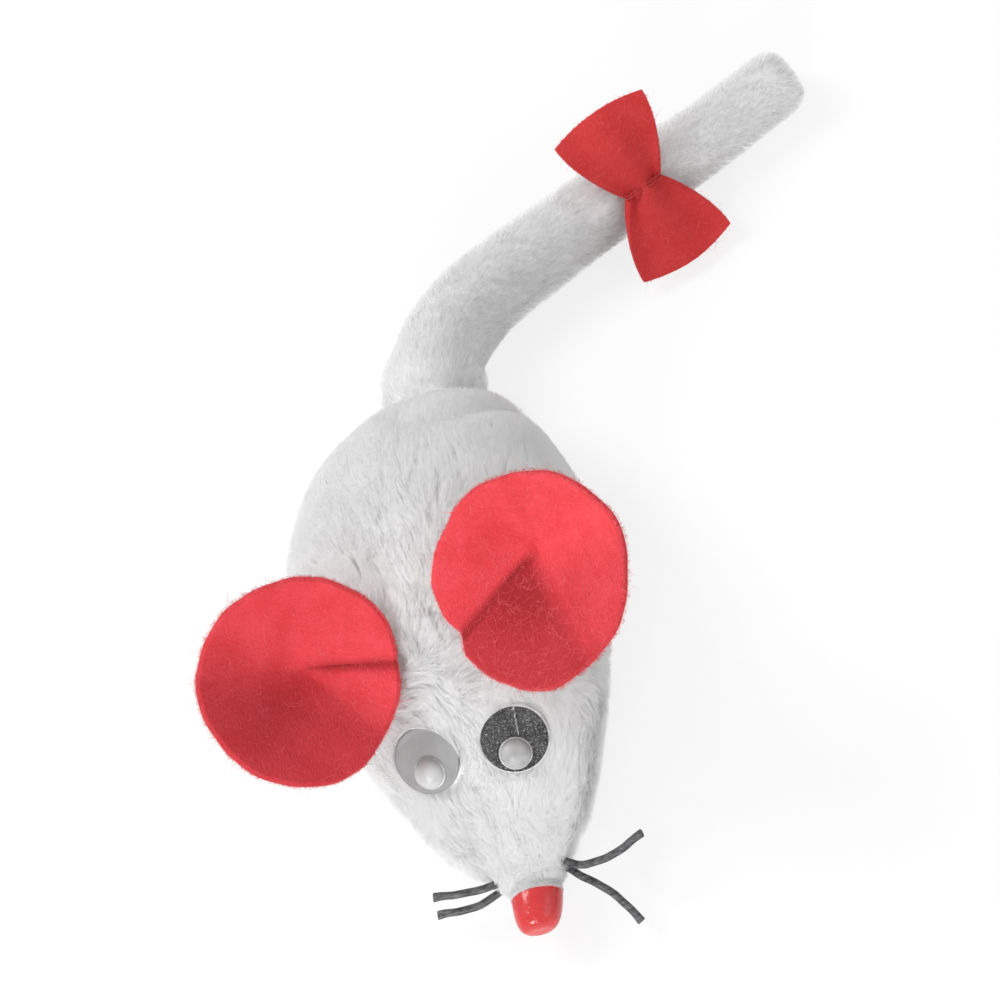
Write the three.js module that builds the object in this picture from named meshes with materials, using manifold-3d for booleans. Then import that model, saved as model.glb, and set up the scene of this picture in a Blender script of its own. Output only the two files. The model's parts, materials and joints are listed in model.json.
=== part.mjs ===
// Catnip mouse: a stuffed plush mouse with felt ears, a felt bow on its tail and a pouch of catnip inside.
// Millimetres, +Z up. The nose points along -Y and the mouse's left side is +X.
// The origin is on the flat that the belly rests on, halfway along the body.
import * as THREE from "three";
import { mergeVertices } from "three/addons/utils/BufferGeometryUtils.js";
import Module from "manifold-3d";

const wasm = await Module();
wasm.setup();

// Body
const noseReach = 49.75;
const tailSeamReach = 39.5;
const bodyWidth = 55;
const bodyHeight = 47.3;
const throatLift = 5.5;
const snoutRounding = 2.5;
const restFlatDepth = 0.5;
const plushThickness = 3.5;
const bodySides = 24;
const bodyRings = 18;
const snoutRings = 3;

// Stations as shares of the way from the tail seam to the snout. Half widths, tops and undersides are
// shares of half the body's width, of its height and of the throat's lift.
const bodyStationShares = [0, 0.03, 0.186, 0.387, 0.576, 0.755, 0.888, 1];
const halfWidthShares = [0.51, 0.58, 0.833, 1, 0.92, 0.76, 0.527, 0.22];
const topShares = [0.475, 0.54, 0.854, 1, 0.964, 0.77, 0.497, 0.262];
const undersideShares = [0, 0, 0, 0, 0.03, 0.5, 0.85, 0.55];

// Seams and fits
const fitGap = 0.3;
const sideSeamHeight = 8;
const threadDiameter = 0.7;
const cutOverrun = 200;

// Catnip pouch
const pouchCentreY = 4;
const pouchCentreZ = 22;
const pouchRadius = 10;
const pouchHalfHeight = 8;
const pouchNeckRadius = 3;
const pouchNeckLength = 5;
const pouchCloth = 0.8;
const pouchSides = 14;

// Tail
const tailBallRadius = 9.6;
const tailRootX = 0.8;
const tailRootY = 42.5;
const tailRootRadius = 8.7;
const tailTipRadius = 6.3;
const tailReach = 92.3;
const tailSettleLength = 18;
const tailTipRounding = 2.5;
const tailPlushThickness = 2.5;
const tailMouthRadius = 4.5;
const tailMouthDepth = 7.8;
const tailSides = 14;
const tailRings = 18;
const tailBallRings = 5;
const tailTipRings = 3;

// Places on the tail's centre line from its root, as shares of the tail's reach along X and Y
const tailRouteShares = [
  [0, 0],
  [0.02, 0.094],
  [0.053, 0.164],
  [0.115, 0.226],
  [0.198, 0.268],
  [0.292, 0.305],
  [0.386, 0.342],
  [0.478, 0.372],
  [0.571, 0.402],
  [0.665, 0.434],
  [0.76, 0.472],
  [0.858, 0.513],
];
// Fullness along the tail, from the root radius at 1 down to the tip radius at 0
const tailStationShares = [0, 0.12, 0.3, 0.5, 1];
const tailFullnessShares = [1, 0.95, 0.74, 0.52, 0.05];

// Seam between tail and body
const seamRingAngle = (110 * Math.PI) / 180;
const seamRingSteps = 24;
const threadSides = 6;

// Bow
const bowLength = 32.5;
const bowEndWidth = 19;
const bowWaistWidth = 6.2;
const bowFelt = 1.3;
const bowFoldDepth = 0.9;
const bowEndFoldDepth = 0.3;
const bowFlareShare = 0.7;
const bowEndBulge = 1.6;
const bowAlongTailShare = 0.64;
const bowLean = (43 * Math.PI) / 180;
const bowFolds = 1.5;
const bowSteps = 12;
const bowWidthSteps = 8;
const bowStitchRadius = 2.6;
const bowStitchDrop = 0.4;

// Ears; a setback is a distance behind the snout's tip
const earRadius = 17.2;
const earFelt = 1.4;
const earBaseX = 5.4;
const earSetback = 31.15;
const earStagger = 1.3;
const earRise = (27 * Math.PI) / 180;
const earPitch = (31 * Math.PI) / 180;
const earTuck = 0.8;
const earCup = 2.2;
const earPleatDepth = 2.4;
const earPleatWidth = 3;
const earHingeHeight = 1.5;
const earStitchRadius = 2.5;
const earStitchSpacing = 2.4;
const earSectors = 30;
const earRings = 4;
const stitchSteps = 12;

// Eyes
const eyeDiameter = 11.4;
const eyeThickness = 0.5;
const eyeX = 7.5;
const eyeSetback = 16.75;
const eyeStagger = 0.4;
const eyeTilt = (40 * Math.PI) / 180;
const eyeTurn = (14.4 * Math.PI) / 180;
const eyeSink = 0.9;
const eyeSegments = 24;
const beadDiameter = 5.5;
const beadHeight = 2.2;
const beadOffset = 2.1;
const beadInward = 0.35;
const beadDrift = 0.75;
const beadRings = 4;

// Nose
const noseDiameter = 8.9;
const noseLength = 7.6;
const noseFullness = 0.75;
const noseHeight = 7.6;
const nosePegRadius = 1.6;
const nosePegLength = 3.4;
const noseSegments = 18;
const noseRings = 6;

// Whiskers, threaded through the snout. The points run from one end to the other: X, the distance behind
// the snout's tip, and the height.
const whiskerDiameter = 1.4;
const whiskerSides = 8;
const whiskerSteps = 14;
const upperWhiskerPoints = [
  [-17, 2.75, 9.6],
  [-10.8, 1.85, 9.2],
  [-5.2, 2.05, 8.9],
  [0, 4.75, 9.4],
  [5.2, 2.85, 9.2],
  [8.8, 0.45, 9.5],
  [14.8, -0.25, 11],
  [21.1, 0.65, 14],
];
const lowerWhiskerPoints = [
  [-18, 1.15, 5.5],
  [-10.8, 0.55, 5.5],
  [-5.6, 1.85, 6.3],
  [0, 4.95, 6.4],
  [4.8, 2.75, 6.9],
  [8.2, -0.65, 7.1],
  [11.6, -3.75, 6.2],
  [13.9, -6.85, 5.1],
  [15.7, -10.15, 4],
];

// Solids from geometries and back
function solidOf(geometry, matrix = new THREE.Matrix4()) {
  const bare = geometry.clone();
  bare.deleteAttribute("normal");
  bare.deleteAttribute("uv");
  bare.applyMatrix4(matrix);
  const merged = mergeVertices(bare);
  const triVerts = new Uint32Array(merged.index.array);
  if (matrix.determinant() < 0) triVerts.reverse();
  return new wasm.Manifold(
    new wasm.Mesh({
      numProp: 3,
      vertProperties: new Float32Array(merged.getAttribute("position").array),
      triVerts,
    }),
  );
}

function geometryOf(solid) {
  const { numProp, vertProperties, triVerts } = solid.getMesh();
  const position = new THREE.InterleavedBuffer(vertProperties, numProp);
  const geometry = new THREE.BufferGeometry();
  geometry.setAttribute("position", new THREE.InterleavedBufferAttribute(position, 3, 0));
  geometry.setIndex(new THREE.BufferAttribute(triVerts, 1));
  const flat = geometry.toNonIndexed();
  flat.computeVertexNormals();
  return flat;
}

// Closed solid through rings of equally many points, with a flat fan at each end
function loft(rings) {
  const count = rings[0].length;
  const points = rings.flat();
  const faces = [];
  for (let ring = 0; ring < rings.length - 1; ring += 1) {
    for (let side = 0; side < count; side += 1) {
      const a = ring * count + side;
      const b = ring * count + ((side + 1) % count);
      faces.push(a, b, b + count, a, b + count, a + count);
    }
  }
  const centres = [rings[0], rings.at(-1)].map((ring) =>
    ring.reduce((sum, point) => sum.add(point), new THREE.Vector3()).divideScalar(count),
  );
  points.push(...centres);
  const firstCentre = points.length - 2;
  const lastCentre = points.length - 1;
  const lastRing = (rings.length - 1) * count;
  for (let side = 0; side < count; side += 1) {
    const next = (side + 1) % count;
    faces.push(firstCentre, next, side);
    faces.push(lastCentre, lastRing + side, lastRing + next);
  }
  const geometry = new THREE.BufferGeometry().setFromPoints(points);
  geometry.setIndex(faces);
  return geometry;
}

// Closed sheet: a grid of points, thickened downwards by the felt's thickness
function feltSheet(topRows, thickness) {
  const rows = topRows.length;
  const columns = topRows[0].length;
  const tops = topRows.flat();
  const points = [...tops, ...tops.map((point) => point.clone().setZ(point.z - thickness))];
  const faces = [];
  const under = rows * columns;
  const quad = (a, b, c, d) => faces.push(a, b, c, a, c, d);
  for (let i = 0; i < rows - 1; i += 1) {
    for (let j = 0; j < columns - 1; j += 1) {
      const a = i * columns + j;
      quad(a, a + columns, a + columns + 1, a + 1);
      quad(under + a, under + a + 1, under + a + columns + 1, under + a + columns);
    }
  }
  const rim = [];
  for (let j = 0; j < columns - 1; j += 1) rim.push(j);
  for (let i = 0; i < rows - 1; i += 1) rim.push(i * columns + columns - 1);
  for (let j = columns - 1; j > 0; j -= 1) rim.push((rows - 1) * columns + j);
  for (let i = rows - 1; i > 0; i -= 1) rim.push(i * columns);
  rim.forEach((a, k) => {
    const b = rim[(k + 1) % rim.length];
    quad(a, b, under + b, under + a);
  });
  const geometry = new THREE.BufferGeometry().setFromPoints(points);
  geometry.setIndex(faces);
  return geometry;
}

// A block that covers everything between two corners, for cutting
function block(low, high) {
  const size = new THREE.Vector3().subVectors(high, low);
  const centre = new THREE.Vector3().addVectors(low, high).divideScalar(2);
  const geometry = new THREE.BoxGeometry(size.x, size.y, size.z);
  geometry.translate(centre.x, centre.y, centre.z);
  return solidOf(geometry);
}

function halfSpace(axis, from, side) {
  const low = new THREE.Vector3(-cutOverrun, -cutOverrun, -cutOverrun);
  const high = new THREE.Vector3(cutOverrun, cutOverrun, cutOverrun);
  if (side > 0) low[axis] = from;
  else high[axis] = from;
  return block(low, high);
}

function ball(radius, centre) {
  const geometry = new THREE.SphereGeometry(radius, bodySides, bodyRings);
  return solidOf(geometry, new THREE.Matrix4().setPosition(centre));
}

function whiskerGeometry(points, radius) {
  const circle = new THREE.Shape();
  for (let side = 0; side < whiskerSides; side += 1) {
    const turn = (side / whiskerSides) * 2 * Math.PI;
    const x = radius * Math.cos(turn);
    const y = radius * Math.sin(turn);
    if (side === 0) circle.moveTo(x, y);
    else circle.lineTo(x, y);
  }
  circle.closePath();
  const route = new THREE.CatmullRomCurve3(
    points.map(([x, behind, z]) => new THREE.Vector3(x, behind - noseReach, z)),
  );
  const options = { steps: whiskerSteps, extrudePath: route, curveSegments: 1 };
  return new THREE.ExtrudeGeometry(circle, options);
}

// Body form
const bodyLength = noseReach + tailSeamReach;
const bodyShares = [halfWidthShares, topShares, undersideShares];
const bodyTable = new THREE.CubicInterpolant(
  bodyStationShares,
  bodyStationShares.flatMap((_, i) => bodyShares.map((shares) => shares[i])),
  bodyShares.length,
);

function bodySection(y) {
  const share = THREE.MathUtils.clamp((tailSeamReach - y) / bodyLength, 0, 1);
  const [halfWidth, top, underside] = bodyTable.evaluate(share);
  const low = underside * throatLift - restFlatDepth;
  const high = top * bodyHeight;
  return {
    halfWidth: (halfWidth * bodyWidth) / 2,
    halfHeight: (high - low) / 2,
    centreZ: (high + low) / 2,
  };
}

function bodyRing(y, inset, scale) {
  const { halfWidth, halfHeight, centreZ } = bodySection(y);
  const ring = [];
  for (let side = 0; side < bodySides; side += 1) {
    const turn = (side / bodySides) * 2 * Math.PI;
    const x = (halfWidth - inset) * scale * Math.cos(turn);
    const z = (halfHeight - inset) * scale * Math.sin(turn);
    ring.push(new THREE.Vector3(x, 0, centreZ + z));
  }
  return ring;
}

// The stuffed body's shape, drawn in all round by an inset
function bodyForm(inset) {
  const rearY = inset > 0 ? tailSeamReach + plushThickness : tailSeamReach;
  const snoutY = -noseReach + inset + snoutRounding;
  const rings = [];
  for (let i = 0; i < bodyRings; i += 1) {
    const y = THREE.MathUtils.lerp(rearY, snoutY, i / (bodyRings - 1));
    rings.push(bodyRing(y, inset, 1).map((point) => point.setY(y)));
  }
  for (let i = 1; i <= snoutRings; i += 1) {
    const turn = (i / (snoutRings + 1)) * (Math.PI / 2);
    const y = snoutY - snoutRounding * Math.sin(turn);
    rings.push(bodyRing(snoutY, inset, Math.cos(turn)).map((point) => point.setY(y)));
  }
  return solidOf(loft(rings)).intersect(halfSpace("z", inset, 1));
}

// Height of the body's upper surface at a place, and the surface's outward normal there
function bodyTop(x, y) {
  const { halfWidth, halfHeight, centreZ } = bodySection(y);
  return centreZ + halfHeight * Math.sqrt(1 - (x / halfWidth) ** 2);
}

function bodyNormal(x, y) {
  const step = fitGap;
  const slopeX = (bodyTop(x + step, y) - bodyTop(x - step, y)) / (2 * step);
  const slopeY = (bodyTop(x, y + step) - bodyTop(x, y - step)) / (2 * step);
  return new THREE.Vector3(-slopeX, -slopeY, 1).normalize();
}

// Seam ring round the tail's ball, and the root's height that keeps it off the table
const seamReach = tailBallRadius + fitGap + threadDiameter / 2;
const seamRingRadius = seamReach * Math.sin(seamRingAngle);

// Tail form
const tailRootZ = seamRingRadius + threadDiameter / 2;
const tailRoot = new THREE.Vector3(tailRootX, tailRootY, tailRootZ);
const tailRoute = new THREE.CatmullRomCurve3(
  tailRouteShares.map(([x, y]) => new THREE.Vector3(x * tailReach, y * tailReach, 0)),
  false,
  "centripetal",
);
const tailLength = tailRoute.getLength();
const tailHeading = tailRoute.getTangentAt(0);
const tailTable = new THREE.CubicInterpolant(tailStationShares, tailFullnessShares, 1);
const ballEnd = Math.sqrt(tailBallRadius ** 2 - tailRootRadius ** 2);

function tailRadius(distance) {
  if (distance <= ballEnd) return Math.sqrt(tailBallRadius ** 2 - distance ** 2);
  const share = (distance - ballEnd) / (tailLength - ballEnd);
  const [fullness] = tailTable.evaluate(THREE.MathUtils.clamp(share, 0, 1));
  return THREE.MathUtils.lerp(tailTipRadius, tailRootRadius, fullness);
}

// Centre, sideways direction and heading of the tail at a distance from its root's centre
function tailFrame(distance) {
  const share = THREE.MathUtils.clamp(distance / tailLength, 0, 1);
  const heading = tailRoute.getTangentAt(share);
  const centre = tailRoute.getPointAt(share);
  if (distance < 0) centre.copy(tailHeading).multiplyScalar(distance);
  centre.add(tailRoot);
  const settled = THREE.MathUtils.smoothstep(distance, ballEnd, ballEnd + tailSettleLength);
  const restingZ = tailRadius(distance) - restFlatDepth;
  centre.z = THREE.MathUtils.lerp(tailRootZ, restingZ, settled);
  const sideways = new THREE.Vector3(-heading.y, heading.x, 0);
  return { centre, sideways, heading };
}

function tailRing(distance, radius, back) {
  const { centre, sideways, heading } = tailFrame(distance);
  centre.addScaledVector(heading, back);
  const ring = [];
  for (let side = 0; side < tailSides; side += 1) {
    const turn = (side / tailSides) * 2 * Math.PI;
    const point = centre.clone().addScaledVector(sideways, radius * Math.cos(turn));
    point.z += radius * Math.sin(turn);
    ring.push(point);
  }
  return ring;
}

// The tail's shape, drawn in all round by an inset and open at the root by a mouth when it is inset
function tailForm(inset, rootDepth) {
  const rings = [];
  const mouthRadius = tailMouthRadius - Math.max(inset - tailPlushThickness, 0);
  const radiusAt = (distance) => {
    const plain = tailRadius(Math.max(distance, 0)) - inset;
    if (distance >= 0) return plain;
    const skin = Math.sqrt(Math.max((tailBallRadius - inset) ** 2 - distance ** 2, 0));
    return inset > 0 ? Math.max(skin, mouthRadius) : skin;
  };
  for (let i = 0; i < tailBallRings; i += 1) {
    const distance = -rootDepth * (1 - i / tailBallRings);
    rings.push(tailRing(distance, radiusAt(distance), 0));
  }
  const bodyEnd = tailLength - tailTipRounding - inset;
  for (let i = 0; i < tailRings; i += 1) {
    const distance = (i / (tailRings - 1)) * bodyEnd;
    rings.push(tailRing(distance, radiusAt(distance), 0));
  }
  const endRadius = radiusAt(bodyEnd);
  for (let i = 1; i <= tailTipRings; i += 1) {
    const turn = (i / (tailTipRings + 1)) * (Math.PI / 2);
    const shrink = endRadius - tailTipRounding * (1 - Math.cos(turn));
    rings.push(tailRing(bodyEnd, shrink, tailTipRounding * Math.sin(turn)));
  }
  return solidOf(loft(rings)).intersect(halfSpace("z", inset, 1));
}

// Materials
function finish(color, roughness, metalness = 0) {
  return new THREE.MeshStandardMaterial({ color, roughness, metalness });
}

const finishes = {
  plush: () => finish("#ececec", 0.95),
  stuffing: () => finish("#f6f6f2", 1),
  pouch: () => finish("#e6dfcc", 0.9),
  catnip: () => finish("#7c8250", 1),
  whiteThread: () => finish("#e8e8e4", 0.7),
  redThread: () => finish("#a52a30", 0.7),
  redFelt: () => finish("#d03c44", 0.95),
  foil: () => finish("#77787a", 0.35, 0.9),
  bead: () => finish("#d9dadb", 0.15),
  nose: () => finish("#d63a3e", 0.12),
  cord: () => finish("#4a4b4d", 0.6),
};

function piece(name, geometry, material) {
  const mesh = new THREE.Mesh(geometry, material);
  mesh.name = name;
  return mesh;
}

const mouse = new THREE.Group();

// Sockets and holes that other pieces need in the body
const pocketRadius = tailBallRadius + threadDiameter + 2 * fitGap;
const pocket = ball(pocketRadius, tailRoot);

function eyeGroup(side) {
  const y = eyeSetback - noseReach - side * eyeStagger;
  const normal = bodyNormal(side * eyeX, y);
  const group = new THREE.Group();
  group.rotation.set(0, 0, side * eyeTurn);
  const tilted = new THREE.Group();
  tilted.rotation.x = Math.PI / 2 - eyeTilt;
  group.add(tilted);
  group.position.set(side * eyeX, y, bodyTop(side * eyeX, y));
  group.position.addScaledVector(normal, -eyeSink);
  group.updateMatrixWorld(true);
  return { group, tilted };
}

function eyeRecess(side) {
  const depth = eyeThickness + fitGap;
  const cut = new THREE.CylinderGeometry(
    eyeDiameter / 2 + fitGap,
    eyeDiameter / 2 + fitGap,
    plushThickness + depth,
    eyeSegments,
  );
  cut.rotateX(Math.PI / 2);
  cut.translate(0, 0, (plushThickness + depth) / 2 - fitGap);
  return solidOf(cut, eyeGroup(side).tilted.matrixWorld);
}

// Ear placement: hinge line across the ear's base, held just above the pile
function earGroup(side) {
  const outer = new THREE.Group();
  const baseY = earSetback - noseReach + side * earStagger;
  const normal = bodyNormal(earBaseX, baseY);
  const seat = new THREE.Vector3(earBaseX, baseY, bodyTop(earBaseX, baseY));
  seat.addScaledVector(normal, earHingeHeight);
  const mirror = new THREE.Group();
  mirror.scale.x = side;
  outer.position.copy(seat);
  outer.rotation.y = -earRise;
  const inner = new THREE.Group();
  inner.rotation.x = earPitch;
  mirror.add(outer);
  outer.add(inner);
  mirror.updateMatrixWorld(true);
  return { mirror, inner };
}

function stitchLoops(radius, thickness) {
  const loops = [-1, 0, 1].map((place) => {
    const loop = new THREE.TorusGeometry(radius, thickness, threadSides, stitchSteps);
    loop.rotateX(Math.PI / 2);
    loop.translate(0, place * earStitchSpacing, 0);
    return solidOf(loop);
  });
  const tie = new THREE.CylinderGeometry(thickness, thickness, 2 * earStitchSpacing, threadSides);
  tie.translate(-radius * Math.SQRT1_2, 0, -radius * Math.SQRT1_2);
  return loops.reduce((sum, loop) => sum.add(loop), solidOf(tie));
}

function placed(solid, matrix) {
  return solidOf(geometryOf(solid), matrix);
}

const earStitches = stitchLoops(earStitchRadius, threadDiameter / 2);
const earStitchRoom = stitchLoops(earStitchRadius, threadDiameter / 2 + fitGap);

// The nose's peg and the whiskers' ways through the snout
const pegHole = new THREE.CylinderGeometry(
  nosePegRadius + fitGap,
  nosePegRadius + fitGap,
  2 * (nosePegLength + fitGap),
  noseSegments,
);
pegHole.translate(0, -noseReach, noseHeight);

const whiskerHoles = [upperWhiskerPoints, lowerWhiskerPoints].map((points) =>
  solidOf(whiskerGeometry(points, whiskerDiameter / 2 + fitGap)),
);

const snoutCuts = [solidOf(pegHole), ...whiskerHoles];
const earCuts = [1, -1].map((side) => placed(earStitchRoom, earGroup(side).inner.matrixWorld));

// Body panels: a left and a right back panel and a belly panel, sewn round the stuffing
function bodyPanels() {
  let skin = bodyForm(0).subtract(bodyForm(plushThickness)).subtract(pocket);
  [...snoutCuts, ...earCuts, eyeRecess(1), eyeRecess(-1)].forEach((cut) => {
    skin = skin.subtract(cut);
  });
  const upper = skin.intersect(halfSpace("z", sideSeamHeight + fitGap / 2, 1));
  return {
    belly_panel: skin.intersect(halfSpace("z", sideSeamHeight - fitGap / 2, -1)),
    back_panel_left: upper.intersect(halfSpace("x", fitGap / 2, 1)),
    back_panel_right: upper.intersect(halfSpace("x", -fitGap / 2, -1)),
  };
}

Object.entries(bodyPanels()).forEach(([name, solid]) => {
  mouse.add(piece(name, geometryOf(solid), finishes.plush()));
});

// Catnip pouch: a gathered cloth bag, its tie and the dried leaf in it
function pouchProfile(inset, neckTop) {
  const points = [new THREE.Vector2(0, -pouchHalfHeight + inset)];
  const steps = pouchSides / 2;
  const neckRadius = pouchNeckRadius - inset;
  const lastTurn = Math.PI - Math.asin(neckRadius / (pouchRadius - inset));
  for (let i = 1; i <= steps; i += 1) {
    const turn = (i / steps) * lastTurn;
    const x = (pouchRadius - inset) * Math.sin(turn);
    const z = -(pouchHalfHeight - inset) * Math.cos(turn);
    points.push(new THREE.Vector2(x, z));
  }
  points.push(new THREE.Vector2(neckRadius, neckTop));
  points.push(new THREE.Vector2(0, neckTop));
  return points;
}

function pouchForm(inset, neckTop) {
  const form = new THREE.LatheGeometry(pouchProfile(inset, neckTop), pouchSides);
  form.rotateX(Math.PI / 2);
  form.translate(0, pouchCentreY, pouchCentreZ);
  return solidOf(form);
}

const pouchNeckTop = pouchHalfHeight + pouchNeckLength;
const pouchBag = pouchForm(0, pouchNeckTop).subtract(pouchForm(pouchCloth, pouchNeckTop + pouchCloth));
mouse.add(piece("catnip_pouch", geometryOf(pouchBag), finishes.pouch()));
const leafTop = pouchNeckTop - pouchNeckLength / 2;
mouse.add(piece("dried_catnip", geometryOf(pouchForm(pouchCloth + fitGap, leafTop)), finishes.catnip()));

const tieRadius = pouchNeckRadius + fitGap + threadDiameter / 2;
const pouchTie = new THREE.TorusGeometry(tieRadius, threadDiameter / 2, threadSides, stitchSteps);
pouchTie.translate(0, pouchCentreY, pouchCentreZ + pouchNeckTop - pouchNeckLength / 2);
mouse.add(piece("pouch_tie_thread", pouchTie, finishes.whiteThread()));

// Stuffing: a front and a rear wad that meet round the pouch
function stuffingWads() {
  const collarRadius = tieRadius + threadDiameter / 2 + fitGap;
  const collar = new THREE.CylinderGeometry(collarRadius, collarRadius, pouchNeckTop + fitGap, pouchSides);
  collar.rotateX(Math.PI / 2);
  collar.translate(0, pouchCentreY, pouchCentreZ + (pouchNeckTop + fitGap) / 2);
  let wad = bodyForm(plushThickness + fitGap).subtract(pocket);
  wad = wad.subtract(pouchForm(-fitGap, pouchNeckTop)).subtract(solidOf(collar));
  snoutCuts.forEach((cut) => {
    wad = wad.subtract(cut);
  });
  return {
    stuffing_front: wad.intersect(halfSpace("y", pouchCentreY - fitGap / 2, -1)),
    stuffing_rear: wad.intersect(halfSpace("y", pouchCentreY + fitGap / 2, 1)),
  };
}

Object.entries(stuffingWads()).forEach(([name, solid]) => {
  mouse.add(piece(name, geometryOf(solid), finishes.stuffing()));
});

// Tail: its sleeve with the bow's stitch room cut in it, its stuffing and the ring of seam thread
const bowDistance = bowAlongTailShare * tailLength;
const bowSeat = tailFrame(bowDistance);
const bowUp = new THREE.Vector3(0, 0, Math.cos(bowLean));
bowUp.addScaledVector(bowSeat.sideways, -Math.sin(bowLean));
const bowAcross = new THREE.Vector3().crossVectors(bowUp, bowSeat.heading);
const bowCentre = bowSeat.centre.clone();
bowCentre.addScaledVector(bowUp, tailRadius(bowDistance) + fitGap + bowFoldDepth + bowFelt / 2);
const bowMatrix = new THREE.Matrix4().makeBasis(bowAcross, bowSeat.heading.clone().negate(), bowUp);
bowMatrix.setPosition(bowCentre);

function bowStitches(thickness) {
  const loop = new THREE.TorusGeometry(bowStitchRadius, thickness, threadSides, stitchSteps);
  loop.scale((bowWaistWidth / 2 + 2 * fitGap + threadDiameter) / bowStitchRadius, 1, 1);
  loop.translate(0, -bowStitchDrop, 0);
  loop.rotateX(Math.PI / 2);
  loop.rotateZ(Math.PI / 2);
  return solidOf(loop, bowMatrix);
}

const sleeve = tailForm(0, tailMouthDepth)
  .subtract(tailForm(tailPlushThickness, tailMouthDepth + fitGap))
  .subtract(bowStitches(threadDiameter / 2 + fitGap));
mouse.add(piece("tail_sleeve", geometryOf(sleeve), finishes.plush()));
const tailFill = tailForm(tailPlushThickness + fitGap, tailMouthDepth).subtract(
  bowStitches(threadDiameter / 2 + fitGap),
);
mouse.add(piece("tail_stuffing", geometryOf(tailFill), finishes.stuffing()));

const seamRing = new THREE.TorusGeometry(
  seamRingRadius,
  threadDiameter / 2,
  threadSides,
  seamRingSteps,
);
const seamThread = piece("tail_seam_thread", seamRing, finishes.whiteThread());
seamThread.position.copy(tailRoot).addScaledVector(tailHeading, seamReach * Math.cos(seamRingAngle));
seamThread.quaternion.setFromUnitVectors(new THREE.Vector3(0, 0, 1), tailHeading);
mouse.add(seamThread);

// Bow: a strip of felt drawn in at its waist, with folds that run out from the waist
function bowPoint(u, v) {
  const out = Math.abs(u);
  const spread = THREE.MathUtils.smoothstep(out, 0, 1);
  const halfWidth = THREE.MathUtils.lerp(bowWaistWidth, bowEndWidth, spread ** bowFlareShare) / 2;
  const bulge = bowEndBulge * (1 - v * v) * spread;
  const x = Math.sign(u) * (out * (bowLength / 2 - bowEndBulge) + bulge);
  const depth = THREE.MathUtils.lerp(bowFoldDepth, bowEndFoldDepth, spread);
  const z = bowFelt / 2 + depth * Math.cos(bowFolds * Math.PI * v);
  return new THREE.Vector3(x, v * halfWidth, z);
}

function bowGeometry() {
  const rows = [];
  for (let i = 0; i <= bowSteps; i += 1) {
    const u = (2 * i) / bowSteps - 1;
    rows.push([]);
    for (let j = 0; j <= bowWidthSteps; j += 1) {
      const v = (2 * j) / bowWidthSteps - 1;
      rows[i].push(bowPoint(u, v));
    }
  }
  return feltSheet(rows, bowFelt);
}

const bow = piece("bow_felt", bowGeometry(), finishes.redFelt());
bow.applyMatrix4(bowMatrix);
mouse.add(bow);
mouse.add(piece("bow_thread", geometryOf(bowStitches(threadDiameter / 2)), finishes.redThread()));

// Ears: round felt, cupped a little, with a pleat from the tacked base to the middle
function earPoint(radiusShare, turn) {
  const x = earRadius * radiusShare * Math.cos(turn);
  const y = earRadius * radiusShare * Math.sin(turn);
  const towardsBase = THREE.MathUtils.clamp(-x / earRadius, 0, 1);
  const pleat = earPleatDepth * towardsBase * Math.exp(-((y / earPleatWidth) ** 2));
  const z = earCup * radiusShare ** 2 - earCup * towardsBase ** 2 - pleat * (1 - towardsBase);
  return new THREE.Vector3(x + earRadius - earTuck, y, z);
}

function earGeometry() {
  const top = [];
  for (let ring = 1; ring <= earRings; ring += 1) {
    top.push([]);
    for (let sector = 0; sector < earSectors; sector += 1) {
      const point = earPoint(ring / earRings, (sector / earSectors) * 2 * Math.PI);
      point.z += earFelt / 2;
      top.at(-1).push(point);
    }
  }
  const under = top.map((ring) => ring.map((point) => point.clone().setZ(point.z - earFelt)));
  return loft([...under, ...top.reverse()]);
}

[
  ["left", 1],
  ["right", -1],
].forEach(([sideName, side]) => {
  const ear = earGroup(side);
  const felt = solidOf(earGeometry()).subtract(earStitchRoom);
  ear.inner.add(piece("ear_" + sideName, geometryOf(felt), finishes.redFelt()));
  ear.inner.add(piece("ear_tack_" + sideName, geometryOf(earStitches), finishes.redThread()));
  mouse.add(ear.mirror);
});

// Eyes: a foil disc set into the pile, and a half-round bead on it towards the nose
function beadGeometry() {
  const profile = [new THREE.Vector2(0, 0)];
  for (let ring = 0; ring <= beadRings; ring += 1) {
    const turn = (ring / beadRings) * (Math.PI / 2);
    profile.push(new THREE.Vector2((beadDiameter / 2) * Math.cos(turn), beadHeight * Math.sin(turn)));
  }
  const bead = new THREE.LatheGeometry(profile, noseSegments);
  bead.rotateX(Math.PI / 2);
  return bead;
}

[
  ["left", 1],
  ["right", -1],
].forEach(([sideName, side]) => {
  const { group, tilted } = eyeGroup(side);
  const disc = new THREE.CylinderGeometry(eyeDiameter / 2, eyeDiameter / 2, eyeThickness, eyeSegments);
  disc.rotateX(Math.PI / 2);
  disc.translate(0, 0, eyeThickness / 2);
  tilted.add(piece("eye_disc_" + sideName, disc, finishes.foil()));
  const bead = piece("eye_bead_" + sideName, beadGeometry(), finishes.bead());
  bead.position.set(-side * beadInward - beadDrift, -beadOffset, eyeThickness);
  tilted.add(bead);
  mouse.add(group);
});

// Nose: a moulded dome with a short peg that is glued into the snout
function noseGeometry() {
  const profile = [
    new THREE.Vector2(0, -nosePegLength),
    new THREE.Vector2(nosePegRadius, -nosePegLength),
    new THREE.Vector2(nosePegRadius, 0),
  ];
  for (let ring = 0; ring <= noseRings; ring += 1) {
    const turn = (ring / noseRings) * (Math.PI / 2);
    const x = (noseDiameter / 2) * Math.cos(turn) ** noseFullness;
    profile.push(new THREE.Vector2(ring < noseRings ? x : 0, noseLength * Math.sin(turn)));
  }
  const nose = new THREE.LatheGeometry(profile, noseSegments);
  nose.rotateX(Math.PI);
  return nose;
}

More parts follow.
